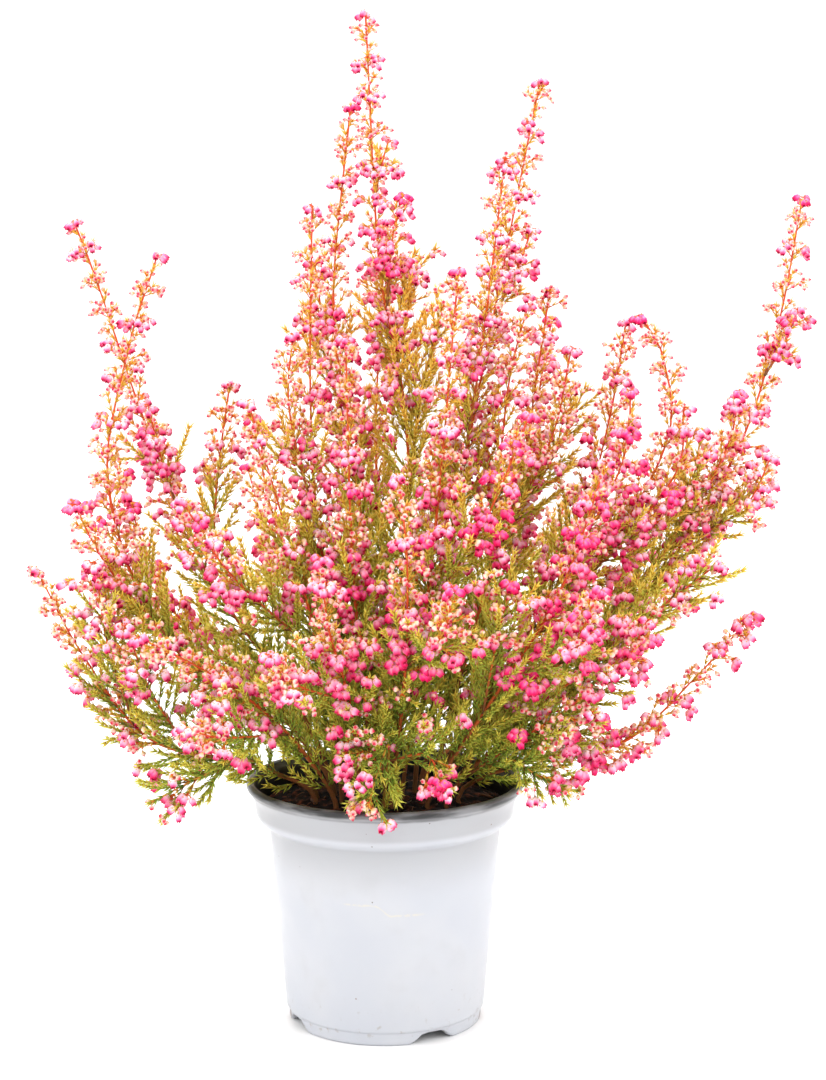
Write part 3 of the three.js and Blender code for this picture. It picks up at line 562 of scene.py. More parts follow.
# Each plant's foot in the peat, and its shoots
PLANTS = {
    "tall": ((3, 3),
        Shoot(0, ((6, 0, 153), (10, 2, 208), (6, 4, 258), (-2, 6, 300), (-7, 8, 394)),
              (0.15, 0.62), 0.5, 0.55, 1.05),
        Shoot(0.5, ((5, 17, 256), (6, 23, 284), (11, 26, 300)), (0.1, 1), 0.8, 0.2),
        Shoot(0.42, ((14, -5, 250), (19, -10, 270), (22, -13, 282)), (0.1, 1), 0.7, 0.3, twigs=0.7),
        Shoot(0.64, ((3, 1, 308), (7, 0, 325)), (0, 0.1), 0.1, 0.7, 1.4, 0.35),
        Shoot(0.78, ((-1, 4, 337), (2, 3, 347)), (0, 0.1), 0.1, 0.6, 1.4, 0.35),
    ),
    "second": ((-5, 9),
        Shoot(0, ((-3, 10, 147), (-14, 12, 235), (-20, 14, 285), (-13, 14, 359)),
              (0.15, 0.55), 0.45, 0.5, 1),
        Shoot(0.55, ((-21, 20, 255), (-28, 29, 300)), (0.1, 0.5), 0.4, 0.4),
    ),
    "column": ((-11, -2),
        Shoot(0, ((-14, -8, 147), (-25, -12, 195), (-28, -14, 250), (-27, -12, 322)),
              (0.15, 0.5), 0.35, 0.45),
        Shoot(0.5, ((-33, -20, 230), (-36, -24, 252), (-34, -25, 274)), (0.1, 0.4), 0.2, 0.45),
    ),
    "column_front": ((-5, -9),
        Shoot(0, ((-8, -20, 140), (-12, -30, 190), (-14, -33, 273)), (0.15, 0.55), 0.4, 0.5, 0.7),
    ),
    "right_spire": ((12, 7),
        Shoot(0, ((18, 6, 152), (30, 10, 215), (42, 14, 276), (60, 16, 369)), (0.15, 0.5), 0.42, 0.35, 0.6),
        Shoot(0.45, ((35, -2, 250), (41, -6, 296), (46, -4, 340)), (0.1, 0.3), 0.3, 0.35),
        Shoot(0.68, ((51, 12, 296), (57, 12, 312)), (0, 0.1), 0.1, 0.45, 1.2, 0.35),
    ),
    "centre": ((7, -7),
        Shoot(0, ((14, -20, 150), (21, -32, 217), (28, -32, 299)), (0.15, 0.5), 0.4, 0.4, 0.75),
        Shoot(0.4, ((38, -50, 208), (54, -52, 247)), (0.1, 0.5), 0.35, 0.9, 1.3),
    ),
    "mid_right": ((20, 11),
        Shoot(0, ((34, 14, 150), (53, 20, 213), (65, 24, 288)), (0.15, 0.55), 0.45, 0.3, 0.8),
        Shoot(0.5, ((65, 4, 232), (72, -2, 267)), (0.1, 0.4), 0.3, 0.4, 0.4),
        Shoot(0.45, ((46, 2, 234), (49, -4, 260), (55, -7, 284)), (0.1, 0.4), 0.25, 0.6, 0.9),
        Shoot(0.52, ((68, 24, 224), (78, 24, 247)), (0.1, 1), 0.7, 0.3, twigs=0.7),
    ),
    "arch": ((20, 1),
        Shoot(0, ((45, 0, 137), (84, -4, 185), (109, -6, 232), (107, -6, 264), (98, -7, 280)),
              (0.15, 0.5), 0.4, 0.7),
        Shoot(0.42, ((80, 12, 205), (89, 15, 242), (94, 12, 276)), (0.05, 0.3), 0.3, 0.6),
        Shoot(0.48, ((110, -16, 218), (114, -19, 246)), (0.1, 0.4), 0.2, 0.5),
        Shoot(0.3, ((86, -20, 214), (92, -26, 238), (93, -27, 253)), (0.1, 0.4), 0.3, 0.8, 1.1),
    ),
    "far_right": ((29, 5),
        Shoot(0, ((53, 10, 128), (100, 12, 166), (136, 10, 222), (152, 8, 272), (161, 8, 324)),
              (0.15, 0.55), 0.45, 0.55),
        Shoot(0.5, ((139, -6, 206), (149, -10, 227)), (0.1, 0.6), 0.4, 0.3, twigs=0.6),
        Shoot(0.44, ((126, 0, 214), (134, -4, 234), (136, -5, 250)), (0.1, 0.4), 0.2, 0.55),
        Shoot(0.3, ((112, 2, 192), (119, -2, 214), (122, -4, 232)), (0.1, 1), 0.6, 0.3, twigs=0.7),
        Shoot(0.76, ((154, 2, 268), (159, 0, 282)), (0, 0.1), 0.1, 0.6, 1.4, 0.35),
    ),
    "low_right": ((31, -5),
        Shoot(0, ((61, -8, 107), (94, -12, 115), (120, -14, 140), (142, -14, 165)),
              (0.12, 0.42), 0.3, 0.65, twigs=0.7),
        Shoot(0.1, ((46, -26, 111), (57, -40, 109), (67, -43, 103)), (0.1, 1), 0.7, 0.3),
    ),
    "far_left": ((-21, 5),
        Shoot(0, ((-36, 6, 128), (-69, 9, 176), (-92, 11, 232), (-111, 12, 290), (-120, 12, 315)),
              (0.15, 0.5), 0.42, 0.42, 0.55),
        Shoot(0.42, ((-67, 28, 213), (-62, 32, 250)), (0.1, 0.6), 0.4, 0.25, 0.4, 0.6),
        Shoot(0.55, ((-87, 0, 226), (-91, -2, 245)), (0.1, 0.5), 0.2, 0.7),
    ),
    "left": ((-28, -1),
        Shoot(0, ((-47, -5, 122), (-87, -9, 158), (-106, -11, 215), (-98, -10, 266), (-86, -10, 303)),
              (0.15, 0.5), 0.4, 0.5, 0.75),
        Shoot(0.33, ((-103, -28, 184), (-116, -38, 212)), (0.1, 0.5), 0.4, 0.6, 0.7),
    ),
    "low_left": ((-29, -9),
        Shoot(0, ((-55, -12, 106), (-91, -17, 117), (-116, -18, 150), (-133, -18, 183)),
              (0.2, 0.7), 0.45, 0.35, 0.55),
        Shoot(0.16, ((-54, -34, 113), (-69, -45, 109), (-85, -52, 102)), (0.1, 1), 0.7, 0.4),
        Shoot(0.56, ((-105, -32, 158), (-108, -40, 190)), (0.05, 0.8), 0.5, 0.25),
        Shoot(0.4, ((-88, -38, 140), (-96, -50, 168)), (0.05, 0.8), 0.5, 0.3),
    ),
    "slant": ((-17, -9),
        Shoot(0, ((-21, -14, 136), (-34, -22, 188), (-51, -26, 249)), (0.15, 0.7), 0.5, 0.3, 0.4),
        Shoot(0.4, ((-56, -47, 186), (-74, -56, 216)), (0.1, 0.6), 0.4, 0.5),
    ),
    "rim": ((0, -28),
        Shoot(0, ((2, -44, 121), (-2, -54, 113), (-5, -59, 104)), (0.3, 1), 0.9, 0.3),
        Shoot(0.5, ((16, -52, 119), (22, -59, 110)), (0.1, 0.8), 0.5, 0.5),
        Shoot(0.4, ((-7, -46, 119), (-14, -56, 114)), (0.1, 0.6), 0.3, 0.3),
    ),
    "front": ((3, -19),
        Shoot(0, ((8, -46, 148), (9, -64, 192), (6, -70, 226)), (0.15, 0.6), 0.45, 0.6, 1),
        Shoot(0.5, ((22, -76, 170), (25, -84, 188)), (0.1, 0.5), 0.4, 0.7),
    ),
    "front_right": ((18, -16),
        Shoot(0, ((44, -40, 142), (66, -52, 182), (82, -56, 230)), (0.15, 0.55), 0.4, 0.9, 1.3),
        Shoot(0.5, ((69, -68, 164), (78, -80, 187)), (0.1, 0.5), 0.4, 0.85, 1.1),
        Shoot(0.35, ((42, -54, 162), (47, -62, 186)), (0.1, 0.9), 0.5, 0.6),
    ),
    "front_left": ((-9, -19),
        Shoot(0, ((-13, -46, 139), (-20, -64, 170), (-22, -74, 197)), (0.15, 0.6), 0.45, 0.35),
        Shoot(0.5, ((-31, -72, 150), (-40, -86, 164)), (0.1, 0.5), 0.4, 0.3),
    ),
    "left_front": ((-20, -18),
        Shoot(0, ((-38, -36, 125), (-61, -56, 149), (-88, -70, 167)), (0.2, 0.65), 0.45, 0.3, 0.65),
        Shoot(0.4, ((-60, -70, 130), (-71, -84, 137)), (0.1, 0.6), 0.5, 0.25, 0.65),
    ),
    "right_front": ((26, -12),
        Shoot(0, ((55, -18, 125), (90, -28, 158), (124, -30, 186)), (0.2, 1), 0.5, 0.45),
        Shoot(0.42, ((88, -42, 150), (98, -52, 170)), (0.1, 0.6), 0.4, 0.6, 1.1),
        Shoot(0.14, ((54, -34, 122), (67, -44, 133), (77, -50, 143)), (0.1, 0.8), 0.5, 0.4),
        Shoot(0.24, ((68, -31, 124), (83, -38, 131)), (0.1, 0.8), 0.5, 0.4),
    ),
    "back": ((1, 20),
        Shoot(0, ((0, 38, 158), (-4, 50, 225), (0, 58, 314)), (0.15, 0.55), 0.45, 0.5),
        Shoot(0.4, ((22, 78, 206), (30, 92, 240)), (0.1, 0.5), 0.4, 0.6),
    ),
    "back_left": ((-14, 17),
        Shoot(0, ((-30, 42, 150), (-46, 55, 192), (-55, 64, 234)), (0.15, 0.55), 0.45, 0.45),
        Shoot(0.4, ((-50, 86, 180), (-60, 104, 208)), (0.1, 0.5), 0.4, 0.7),
    ),
    "back_right": ((15, 19),
        Shoot(0, ((34, 41, 151), (54, 54, 202), (68, 64, 274)), (0.15, 0.55), 0.45, 0.6),
        Shoot(0.4, ((66, 86, 176), (80, 104, 200)), (0.1, 0.5), 0.4, 0.4),
    ),
    "back_far_left": ((-23, 13),
        Shoot(0, ((-52, 34, 126), (-88, 50, 156), (-114, 62, 222)), (0.15, 0.55), 0.45, 0.7),
        Shoot(0.45, ((-102, 70, 152), (-118, 84, 168)), (0.1, 0.5), 0.4, 0.4),
    ),
    "back_far_right": ((26, 13),
        Shoot(0, ((56, 34, 126), (94, 52, 154), (122, 64, 214)), (0.15, 0.55), 0.45, 0.35),
        Shoot(0.45, ((106, 74, 148), (124, 86, 162)), (0.1, 0.5), 0.4, 0.5),
    ),
    "back_low": ((3, 29),
        Shoot(0, ((0, 62, 110), (-6, 96, 128), (-12, 124, 178)), (0.2, 0.65), 0.5, 0.4),
        Shoot(0.4, ((28, 104, 124), (40, 122, 148)), (0.1, 0.6), 0.5, 0.6),
    ),
    "back_low_left": ((-13, 26),
        Shoot(0, ((-38, 62, 108), (-64, 90, 122), (-80, 102, 142)), (0.2, 0.7), 0.5, 0.5),
    ),
    "back_low_right": ((18, 27),
        Shoot(0, ((44, 60, 108), (70, 84, 120), (92, 100, 138)), (0.2, 0.7), 0.5, 0.6),
    ),
}


def smooth_line(corners, count):
    """A Catmull-Rom line through the corners, cut into equal lengths: between corners b and c it is the cubic
    whose slopes there are half of c - a and half of d - b."""
    ends = np.stack([2 * corners[0] - corners[1], 2 * corners[-1] - corners[-2]])
    chain = np.concatenate([ends[:1], corners, ends[1:]])
    place = np.linspace(0, len(corners) - 1, CURVE_POINTS)
    piece = np.minimum(place.astype(int), len(corners) - 2)
    t = (place - piece)[:, None]
    a, b, c, d = (chain[piece + shift] for shift in range(4))
    slope_b, slope_c = (c - a) / 2, (d - b) / 2
    fine = ((2 * t ** 3 - 3 * t ** 2 + 1) * b + (t ** 3 - 2 * t ** 2 + t) * slope_b
            + (3 * t ** 2 - 2 * t ** 3) * c + (t ** 3 - t ** 2) * slope_c)
    lengths = np.concatenate([[0], np.cumsum(np.linalg.norm(np.diff(fine, axis=0), axis=1))])
    marks = np.linspace(0, lengths[-1], count)
    return np.stack([np.interp(marks, lengths, fine[:, k]) for k in range(3)], axis=-1), lengths[-1]


def on_line(line, shares):
    """The points of a line at some shares of its length, and the line's directions there."""
    place = np.clip(shares, 0, 1) * (len(line) - 1)
    mark = np.minimum(place.astype(int), len(line) - 2)
    step = line[mark + 1] - line[mark]
    return line[mark] + step * (place - mark)[:, None], unit(step)


def stems_of(foot, shoots):
    """Each shoot's facts with its line and its length: the first starts upright in its hole in the peat, and
    the next start from a point on the first."""
    stems = []
    for shoot in shoots:
        if stems:
            start = on_line(stems[0]["line"], np.array([shoot.fork]))[0]
        else:
            start = np.array([(*foot, ROOT_LEVEL), (*foot, ROOT_LEVEL + UPRIGHT_LENGTH)])
        line, length = smooth_line(np.concatenate([start, shoot.path]), STEM_POINTS)
        stems.append(dict(shoot._asdict(), line=line, length=length))
    return stems


def bark():
    """From brown bark at the foot to orange red young wood: by how far along the rod, and by its shade."""
    material, tree, shader = new_material("heath_bark", roughness=0.7, specular=0.2)
    layout, along, shade = map_numbers(tree)
    tawny = painted_ramp(tree, along, (0.0, 132, 104, 52), (0.4, 176, 146, 54), (1.0, 214, 180, 66))
    red = painted_ramp(
        tree, along, (0.0, 108, 76, 48), (0.22, 176, 96, 50), (0.5, 230, 86, 42), (1.0, 228, 70, 50),
    )
    wood = mixed_colour(tree, shade, tawny, red)
    grain = add_node(tree, "ShaderNodeTexNoise", {"Vector": layout, "Scale": 60}).outputs["Color"]
    tree.links.new(mixed_colour(tree, BARK_GRAIN, wood, grain, "MULTIPLY"), shader.inputs["Base Color"])
    return material


def stem_rods(stems):
    """Rods that taper to their tip over the first four fifths of their length, with a slow knobble: radius =
    taper (1 + knobble sin of the length along). A shoot that blooms from low down is young, red wood."""
    lines = np.stack([stem["line"] for stem in stems])
    share = np.linspace(0, 1, STEM_POINTS)
    radii = []
    for stem in stems:
        base = FORK_RADIUS if stem["fork"] else STEM_RADIUS
        taper = base + (TIP_RADIUS - base) * np.minimum(1, share * 1.25)
        radii.append(taper * (1 + KNOBBLE * np.sin(share * stem["length"] * KNOBBLE_PER_MM)))
    shades = np.array([YOUNG_SHADE if stem["bloom"] < BLOOMS_LOW else WOODY_SHADE for stem in stems])
    return sweep_rods(lines, np.stack(radii), STEM_SIDES, shades)


# Twigs: short side shoots that leave a stem at every few millimetres, turned by the golden turn. The lower
# ones are needled and rise along the stem; the upper ones stand three to a tier and nod under their bells.
GOLDEN_TURN = 2.39996
THIRD_TURN = 2.0944
THIRD_STEP = 0.31
TURN_PLAY = 0.9
TIER_TURN_PLAY = 0.5
TIER_SPREAD = 2.6
TIER_LEAN_STEP = 0.12
DENSE_TIERS = 0.4
FOOT_START = 0.13
FOOT_OVERLAP = 0.05
FULL_STEM = 80
FORKING_LENGTH = 11
FORKING_DEPTH = 0.6
SIDE_CHANCE = 0.45
SIDE_FROM = 0.4
SIDE_LEAN = 0.7
SIDE_LENGTH = 0.48
TWIG_MIDDLE = 0.6
TWIG_TAPER = 0.6
LEAFY_END = 6.0
BARE_END = 3.0
PLANT_WIDE = 100
PLANT_TALL = 210
SKEW_AXIS = (0.21, 0.93, 0.3)

# How a kind of twig grows: one at every step in mm along its stem, each longest - less share + play draw mm
# long, at its lean off the stem, with its end raised by rise times its length
TwigKind = namedtuple("TwigKind", "step longest less play lean rise")
LEAFY = TwigKind(7, 24, 12, 6, 0.62, 0.16)
FOOT = TwigKind(2.3, 9, 0, 11, 0.9, 0.4)
BLOOM = TwigKind(6.5, 9, 4, 3, 0.85, -0.15)
UPPER = TwigKind(4.0, 17, 14, 7, 0.5, 0.05)

# A kind's rods: their thickness in mm, their shade as a + b share with the twig's share of the stem, youth,
# which moves the whole rod up the bark's colours from 0, the brown, to 1, all young wood, and their rings
RodKind = namedtuple("RodKind", "thickness shades youth rings")
ROD_KINDS = {
    "foot": RodKind(0.34, (0.02, 0.3), 0.0, 3),
    "side": RodKind(0.25, (0.1, 0.4), 0.3, 2),
    "leafy": RodKind(0.34, (0.1, 0.4), 0.0, 3),
    "bloom": RodKind(0.25, (0.85, 0), 0.6, 2),
    "upper": RodKind(0.25, (0.4, 0), 0.6, 2),
}


def draw(a, b, c):
    """A repeatable number from 0 to 1 for three whole numbers: the fraction of a large sine."""
    wave = np.sin(a * 12.9898 + b * 78.233 + c * 37.719) * 43758.5453
    return wave - np.floor(wave)


def depth_inside(points):
    """0 at the plant's outside and 1 in its middle: 1 less the point's distance from the stems' feet, as a
    share of an egg 100 mm wide and 210 mm tall."""
    wide = np.hypot(points[:, 0], points[:, 1]) / PLANT_WIDE
    tall = np.clip(points[:, 2] - ROOT_LEVEL, 0, None) / PLANT_TALL
    return 1 - np.clip(np.hypot(wide, tall), 0, 1)


def bent(twigs, t):
    """The curve (1 - t)^2 start + 2 t (1 - t) middle + t^2 end of each twig, and its direction."""
    fitting = (len(t), *[1] * (t.ndim - 1), 3)
    start, middle, end = (twigs[key].reshape(fitting) for key in ("start", "middle", "end"))
    t = t[..., None]
    point = (1 - t) ** 2 * start + 2 * t * (1 - t) * middle + t ** 2 * end
    return point, unit(2 * (1 - t) * (middle - start) + 2 * t * (end - middle))


def leaning(direction, axis, turn, lean):
    """A direction d leant over by an angle, towards a turn about d: d cos lean + side sin lean, where side =
    across cos turn + over sin turn, across = d x axis and over = d x across."""
    across = unit(np.cross(direction, axis))
    side = across * np.cos(turn)[..., None] + np.cross(direction, across) * np.sin(turn)[..., None]
    return direction * np.cos(lean)[..., None] + side * np.sin(lean)[..., None]


def twig_group(start, heading, length, share, rise=0.0):
    """Twigs from their starts along their headings, whose ends are raised by rise times their length."""
    end = start + heading * length[:, None]
    end[:, 2] += rise * length
    middle = start + heading * (TWIG_MIDDLE * length)[:, None]
    return dict(start=start, middle=middle, end=end, length=length, share=share)


def chosen_of(twigs, which):
    """Some of the twigs, by their numbers or by a yes or no for each."""
    return {key: value[which] for key, value in twigs.items()}


def pooled(*groups):
    """Groups of twigs laid one after the other, with the facts that all of them have."""
    shared = sorted(set.intersection(*(set(group) for group in groups)))
    return {key: np.concatenate([group[key] for group in groups]) for key in shared}


def twigs_at(stem, kind, share, turn, length):
    """Twigs at shares of a stem's length, which head off towards their turn about the stem."""
    point, direction = on_line(stem["line"], share)
    heading = leaning(direction, (0, 1, 0), turn, kind.lean)
    return twig_group(point, heading, length, share, kind.rise)


def lengths_of(kind, share, chance):
    """A kind's lengths: longest - less share + play chance."""
    return kind.longest - kind.less * share + kind.play * chance


def orders_within(stem, first, last, kind):
    """Whole numbers k for the twigs on a share of the stem, and each one's share: first + k step / length."""
    order = np.arange(1, max(2, int((last - first) * stem["length"] / kind.step)))
    return order, first + order * kind.step / stem["length"]


def leafy_twigs(stem, seed, beside):
    """Needled twigs along the leafy share. Those beside the first stand a third of a turn and a step on."""
    order, share = orders_within(stem, *stem["leaf"], LEAFY)
    length = stem["twigs"] * lengths_of(LEAFY, share, draw(seed, order, 3 + 3 * beside))
    turn = order * GOLDEN_TURN + TURN_PLAY * draw(seed, order, 1) + beside * THIRD_TURN
    return twigs_at(stem, LEAFY, share + beside * THIRD_STEP * LEAFY.step / stem["length"], turn, length)


def foot_twigs(stem, seed):
    """Shorter needled twigs from just over the peat up to the leafy share."""
    order = np.arange(max(0, int((stem["leaf"][0] + FOOT_OVERLAP) * stem["length"] / FOOT.step)))
    share = FOOT_START + order * FOOT.step / stem["length"]
    length = lengths_of(FOOT, share, draw(seed, order, 11))
    return twigs_at(stem, FOOT, share, order * GOLDEN_TURN + seed, length)


def bloom_twigs(stem, seed, beside):
    """One twig of each tier: tiers stand at every second step, and at every step low on the blooming share.
    They get shorter, and fewer of their umbels are open, with the height on that share."""
    order, share = orders_within(stem, stem["bloom"], 1, BLOOM)
    height = (share - stem["bloom"]) / (1 - stem["bloom"])
    standing = (order % 2 == 1) | (height < DENSE_TIERS)
    order, share, height = order[standing], share[standing], height[standing]
    length = lengths_of(BLOOM, height, draw(seed, order, 2 + 3 * beside))
    play = TURN_PLAY * draw(seed, order, 1)
    turn = order * GOLDEN_TURN + play + beside * (THIRD_TURN + TIER_TURN_PLAY * draw(seed, order, 9))
    jitter = beside * TIER_SPREAD * (draw(seed, order, 10 + beside) - 0.5) / stem["length"]
    kind = BLOOM._replace(lean=BLOOM.lean - TIER_LEAN_STEP * beside)
    twigs = twigs_at(stem, kind, np.minimum(1, share + jitter), turn, length)
    twigs["open"] = draw(seed, order, 8) < stem["open"] * (1.15 - 0.8 * height)
    return twigs


def upper_twigs(stem, seed):
    """Slim tawny twigs between the tiers, from the end of the leafy share to high on the stem, shorter and
    shorter, each with buds at its tip. On stems under 80 mm long they are shorter by that share."""
    order, share = orders_within(stem, stem["leaf"][1] - 0.05, 1, UPPER)
    length = lengths_of(UPPER, share, (1.15 - share) * draw(seed, order, 13))
    length = length * min(1, stem["length"] / FULL_STEM)
    return twigs_at(stem, UPPER, share, order * GOLDEN_TURN + 1.1 + seed, length)


def side_twigs(twigs, seed):
    """A twig of half the length out of the middle of some of the long needled twigs on the plant's outside,
    turned away from its twig by forty degrees."""
    order = np.arange(len(twigs["length"]))
    outside = depth_inside(twigs["end"]) < FORKING_DEPTH
    forking = (twigs["length"] > FORKING_LENGTH) & outside & (draw(seed, order, 21) < SIDE_CHANCE)
    twigs, order = chosen_of(twigs, forking), order[forking]
    length = SIDE_LENGTH * twigs["length"]
    point, direction = bent(twigs, np.full(len(length), SIDE_FROM))
    heading = leaning(direction, SKEW_AXIS, 2 * np.pi * draw(seed, order, 22), SIDE_LEAN)
    return twig_group(point, heading, length, twigs["share"])


def needled_to_tip(stem):
    """Whether the stem's leafy share goes on to its end."""
    return stem["leaf"][1] == 1


def end_twig(stem):
    """The stem's own end, carried on in a straight line."""
    point, direction = on_line(stem["line"], np.array([1.0]))
    start = point - 2 * direction
    length = np.array([LEAFY_END if needled_to_tip(stem) else BARE_END])
    middle, end = start + direction * length / 2, start + direction * length
    return dict(start=start, middle=middle, end=end, length=length, share=np.array([1.0]))


def twig_rods(twigs, kind):
    """Slim rods along twigs, tapering to six tenths of their thickness."""
    t = np.broadcast_to(np.linspace(0, 1, kind.rings), (len(twigs["length"]), kind.rings))
    lines, _ = bent(twigs, t)
    radii = np.broadcast_to(kind.thickness * np.linspace(1, TWIG_TAPER, kind.rings), t.shape)
    points, faces, uv = sweep_rods(lines, radii, 3, kind.shades[0] + kind.shades[1] * twigs["share"])
    return points, faces, np.stack([kind.youth + (1 - kind.youth) * uv[:, 0], uv[:, 1]], axis=-1)


# Needles: slim leaves three to five millimetres long, in whorls of four. They are dark green low in the
# plant, yellow green on its outer twigs, darker inside it as painted shade, and short, tawny and pressed to
# the stem up among the bells.
NEEDLE_HALF_WIDTH = 0.135
IN_WHORL = 4
FIRST_WHORL = 0.1
STEM_NEEDLES_FROM = 0.15
TONE_FROM = 105
TONE_OVER = 170

# A kind's needles: their whorls' step in mm, their shade as a + b t + c tone, with the place t on the twig
# and the tone of its height, a number added to the seed, and their length and lean
NeedleKind = namedtuple("NeedleKind", "step shades seed length lean", defaults=(3.9, 0.5))
NEEDLE_KINDS = {
    "foot": NeedleKind(2.2, (0.3, 0.34, 0), 100, 4.2, 0.55),
    "side": NeedleKind(1.86, (0.2, 0.3, 0.44), 50, 3.4),
    "leafy": NeedleKind(1.86, (0.12, 0.34, 0.44), 0),
    "bloom": NeedleKind(2.4, (0.68, 0.3, 0), 200, 2.8, 0.45),
    "upper": NeedleKind(2.2, (0.58, 0.35, 0), 250, 3.3),
    "stem": NeedleKind(4.4, (0.1, 0, 0.6), 300),
    "upper stem": NeedleKind(8, (0.45, 0.5, 0), 400, 2.6, 0.4),
}


def round_ring(radius, level, sides, turn=0.0):
    """Points round Z at a level, of one radius or of one for each point."""
    angle = np.arange(sides) * 2 * np.pi / sides + turn
    return np.stack([radius * np.cos(angle), radius * np.sin(angle), np.broadcast_to(level, sides)], axis=-1)


def needle_form():
    """A three-sided awl of length one along Z, whose foot is sunk in the twig."""
    points = np.concatenate([round_ring(NEEDLE_HALF_WIDTH, 0, 3), [[0, 0, 1]]])
    faces = np.array([[0, 2, 1], [0, 1, 3], [1, 2, 3], [2, 0, 3]])
    return points, [faces]


def set_out(form, along, places, axes, spins, sizes, shades):
    """Copies of a form: point p of a copy is place + size (x side + y over + z axis), where side and over lie
    across the axis, turned by the copy's spin. The map holds the form's numbers along it, and a shade for
    each copy or for each of its points."""
    points, faces = form
    helper = np.where(np.abs(axes[:, 2:]) > 0.9, np.array([[1.0, 0, 0]]), np.array([[0, 0, 1.0]]))
    level = unit(np.cross(helper, axes))
    rise = np.cross(axes, level)
    side = level * np.cos(spins)[:, None] + rise * np.sin(spins)[:, None]
    over = np.cross(axes, side)
    basis = np.stack([side, over, axes], axis=1) * sizes[:, None, None]
    placed = places[:, None] + np.einsum("pk,nkd->npd", points, basis)
    offsets = (np.arange(len(places)) * len(points))[:, None, None]
    uv = np.stack(np.broadcast_arrays(along[None], shades), axis=-1).reshape(-1, 2)
    return placed.reshape(-1, 3), [(part + offsets).reshape(-1, part.shape[1]) for part in faces], uv


def needles_on(points, directions, t, kind, seed):
    """Four needles at each given point of a twig, leaning out from its direction. They are darker by up to
    three tenths inside the plant, as painted shade. The tone is 0 near the pot and 1 high in the plant."""
    tone = np.clip((points[:, 2] - TONE_FROM) / TONE_OVER, 0, 1)
    shades = kind.shades[0] + kind.shades[1] * t + kind.shades[2] * tone
    dice = np.random.default_rng(seed + kind.seed)
    count = len(points)
    quarter = np.arange(IN_WHORL) * np.pi / 2
    turn = (np.arange(count) * np.pi / 4)[:, None] + quarter + dice.normal(0, 0.25, (count, IN_WHORL))
    tilt = kind.lean + dice.normal(0, 0.13, (count, IN_WHORL))
    axes = unit(leaning(directions[:, None], SKEW_AXIS, turn, tilt)).reshape(-1, 3)
    size = kind.length * dice.uniform(0.75, 1.1, count * IN_WHORL)
    spins = dice.uniform(0, 2 * np.pi, count * IN_WHORL)
    # Painted shade: the shade number falls by up to three tenths deep inside the plant, towards dark green
    shades = np.repeat(shades * (1 - 0.3 * depth_inside(points)), IN_WHORL)
    shade = np.clip(shades + dice.normal(0, 0.05, count * IN_WHORL), 0.005, 0.995)
    form = needle_form()
    places = np.repeat(points, IN_WHORL, axis=0)
    return set_out(form, form[0][:, 2], places, axes, spins, size, shade[:, None])


def needles_along(twigs, kind, seed):
    """Whorls of needles at every step along each twig, from a tenth of its length on."""
    counts = np.maximum(2, ((1 - FIRST_WHORL) * twigs["length"] / kind.step).astype(int))
    which = np.repeat(np.arange(len(counts)), counts)
    place = np.arange(counts.sum()) - np.repeat(np.cumsum(counts) - counts, counts)
    t = FIRST_WHORL + (1 - FIRST_WHORL) * (place + 0.5) / counts[which]
    return needles_on(*bent(chosen_of(twigs, which), t), t, kind, seed)


def stem_needles(stem, seed):
    """Needles on the stem itself: green ones up to the end of its leafy share, short tawny ones above."""
    groups = []
    leafy_end = stem["leaf"][1]
    for name, first, last in (("stem", STEM_NEEDLES_FROM, leafy_end), ("upper stem", leafy_end, 1)):
        kind = NEEDLE_KINDS[name]
        shares = np.arange(first, last, kind.step / stem["length"])
        groups.append(needles_on(*on_line(stem["line"], shares), shares, kind, seed))
    return groups


def needle_green():
    """Green by the needle's shade, from dark over yellow green to tawny, and paler towards its tip."""
    material, tree, shader = new_material("heath_needle", roughness=0.6, specular=0.2)
    _, along, shade = map_numbers(tree)
    foot = painted_ramp(
        tree, shade, (0.0, 60, 98, 36), (0.2, 118, 146, 50), (0.45, 190, 184, 58), (0.7, 228, 182, 54),
        (1.0, 232, 156, 52),
    )
    tip = painted_ramp(
        tree, shade, (0.0, 112, 144, 54), (0.2, 184, 200, 74), (0.45, 232, 220, 92), (0.7, 248, 214, 96),
        (1.0, 248, 190, 88),
    )
    tree.links.new(mixed_colour(tree, along, foot, tip), shader.inputs["Base Color"])
    return material


# Bells: urn-shaped flowers four millimetres long in nodding umbels of up to eight, each on a thin red stalk
# under a small tawny calyx. They are almost white to deep pink, with four lobes and a dark red throat.
BELL_LENGTH = 3.9
BELL_RADIUS = 1.62
BELL_SIDES = 8
THROAT_LEVEL = 0.76
CALYX_RADIUS = 0.44
CALYX_LEVEL = 0.34
CALYX_TURN = 0.4
SEPALS = 4
BUD_LENGTH = 2.8
BUD_RADIUS = 0.43
BUD_SIDES = 5
STALK_WIDTH = 1.5
STALK_LEAN = 1.05
STALK_AXIS = (0.31, 0.2, 0.93)
STALK_REACH = (1.0, 2.2)
STALK_FOOT_BACK = 2.2
AXIS_KEEPS = (0.75, 0.75, 0.3)
ROOT_SINK = 0.3
FRONT_FROM = -20
BACK_FROM = 40
BELL_SHARE = 0.88
LEAFY_BLOOM = 0.3
FRONT_BLOOM = 0.16
HIGH_FROM = 200
HIGH_OVER = 120
SMALLER_FROM = 170
SMALLER_OVER = 190
BACK_OVER = 60
BELL_SHADES = (0.005, 0.7)
BUD_SHADES = (0.78, 0.995)
BUDS_OVER = 0.74
PINKEST_BUD = 1.1

# Each kind's mean number of flowers in an umbel, and a number added to the seed
UMBEL_KINDS = {"bloom": (5, 900), "upper": (3, 1100), "leafy": (4, 1300), "tip": (6, 1700)}


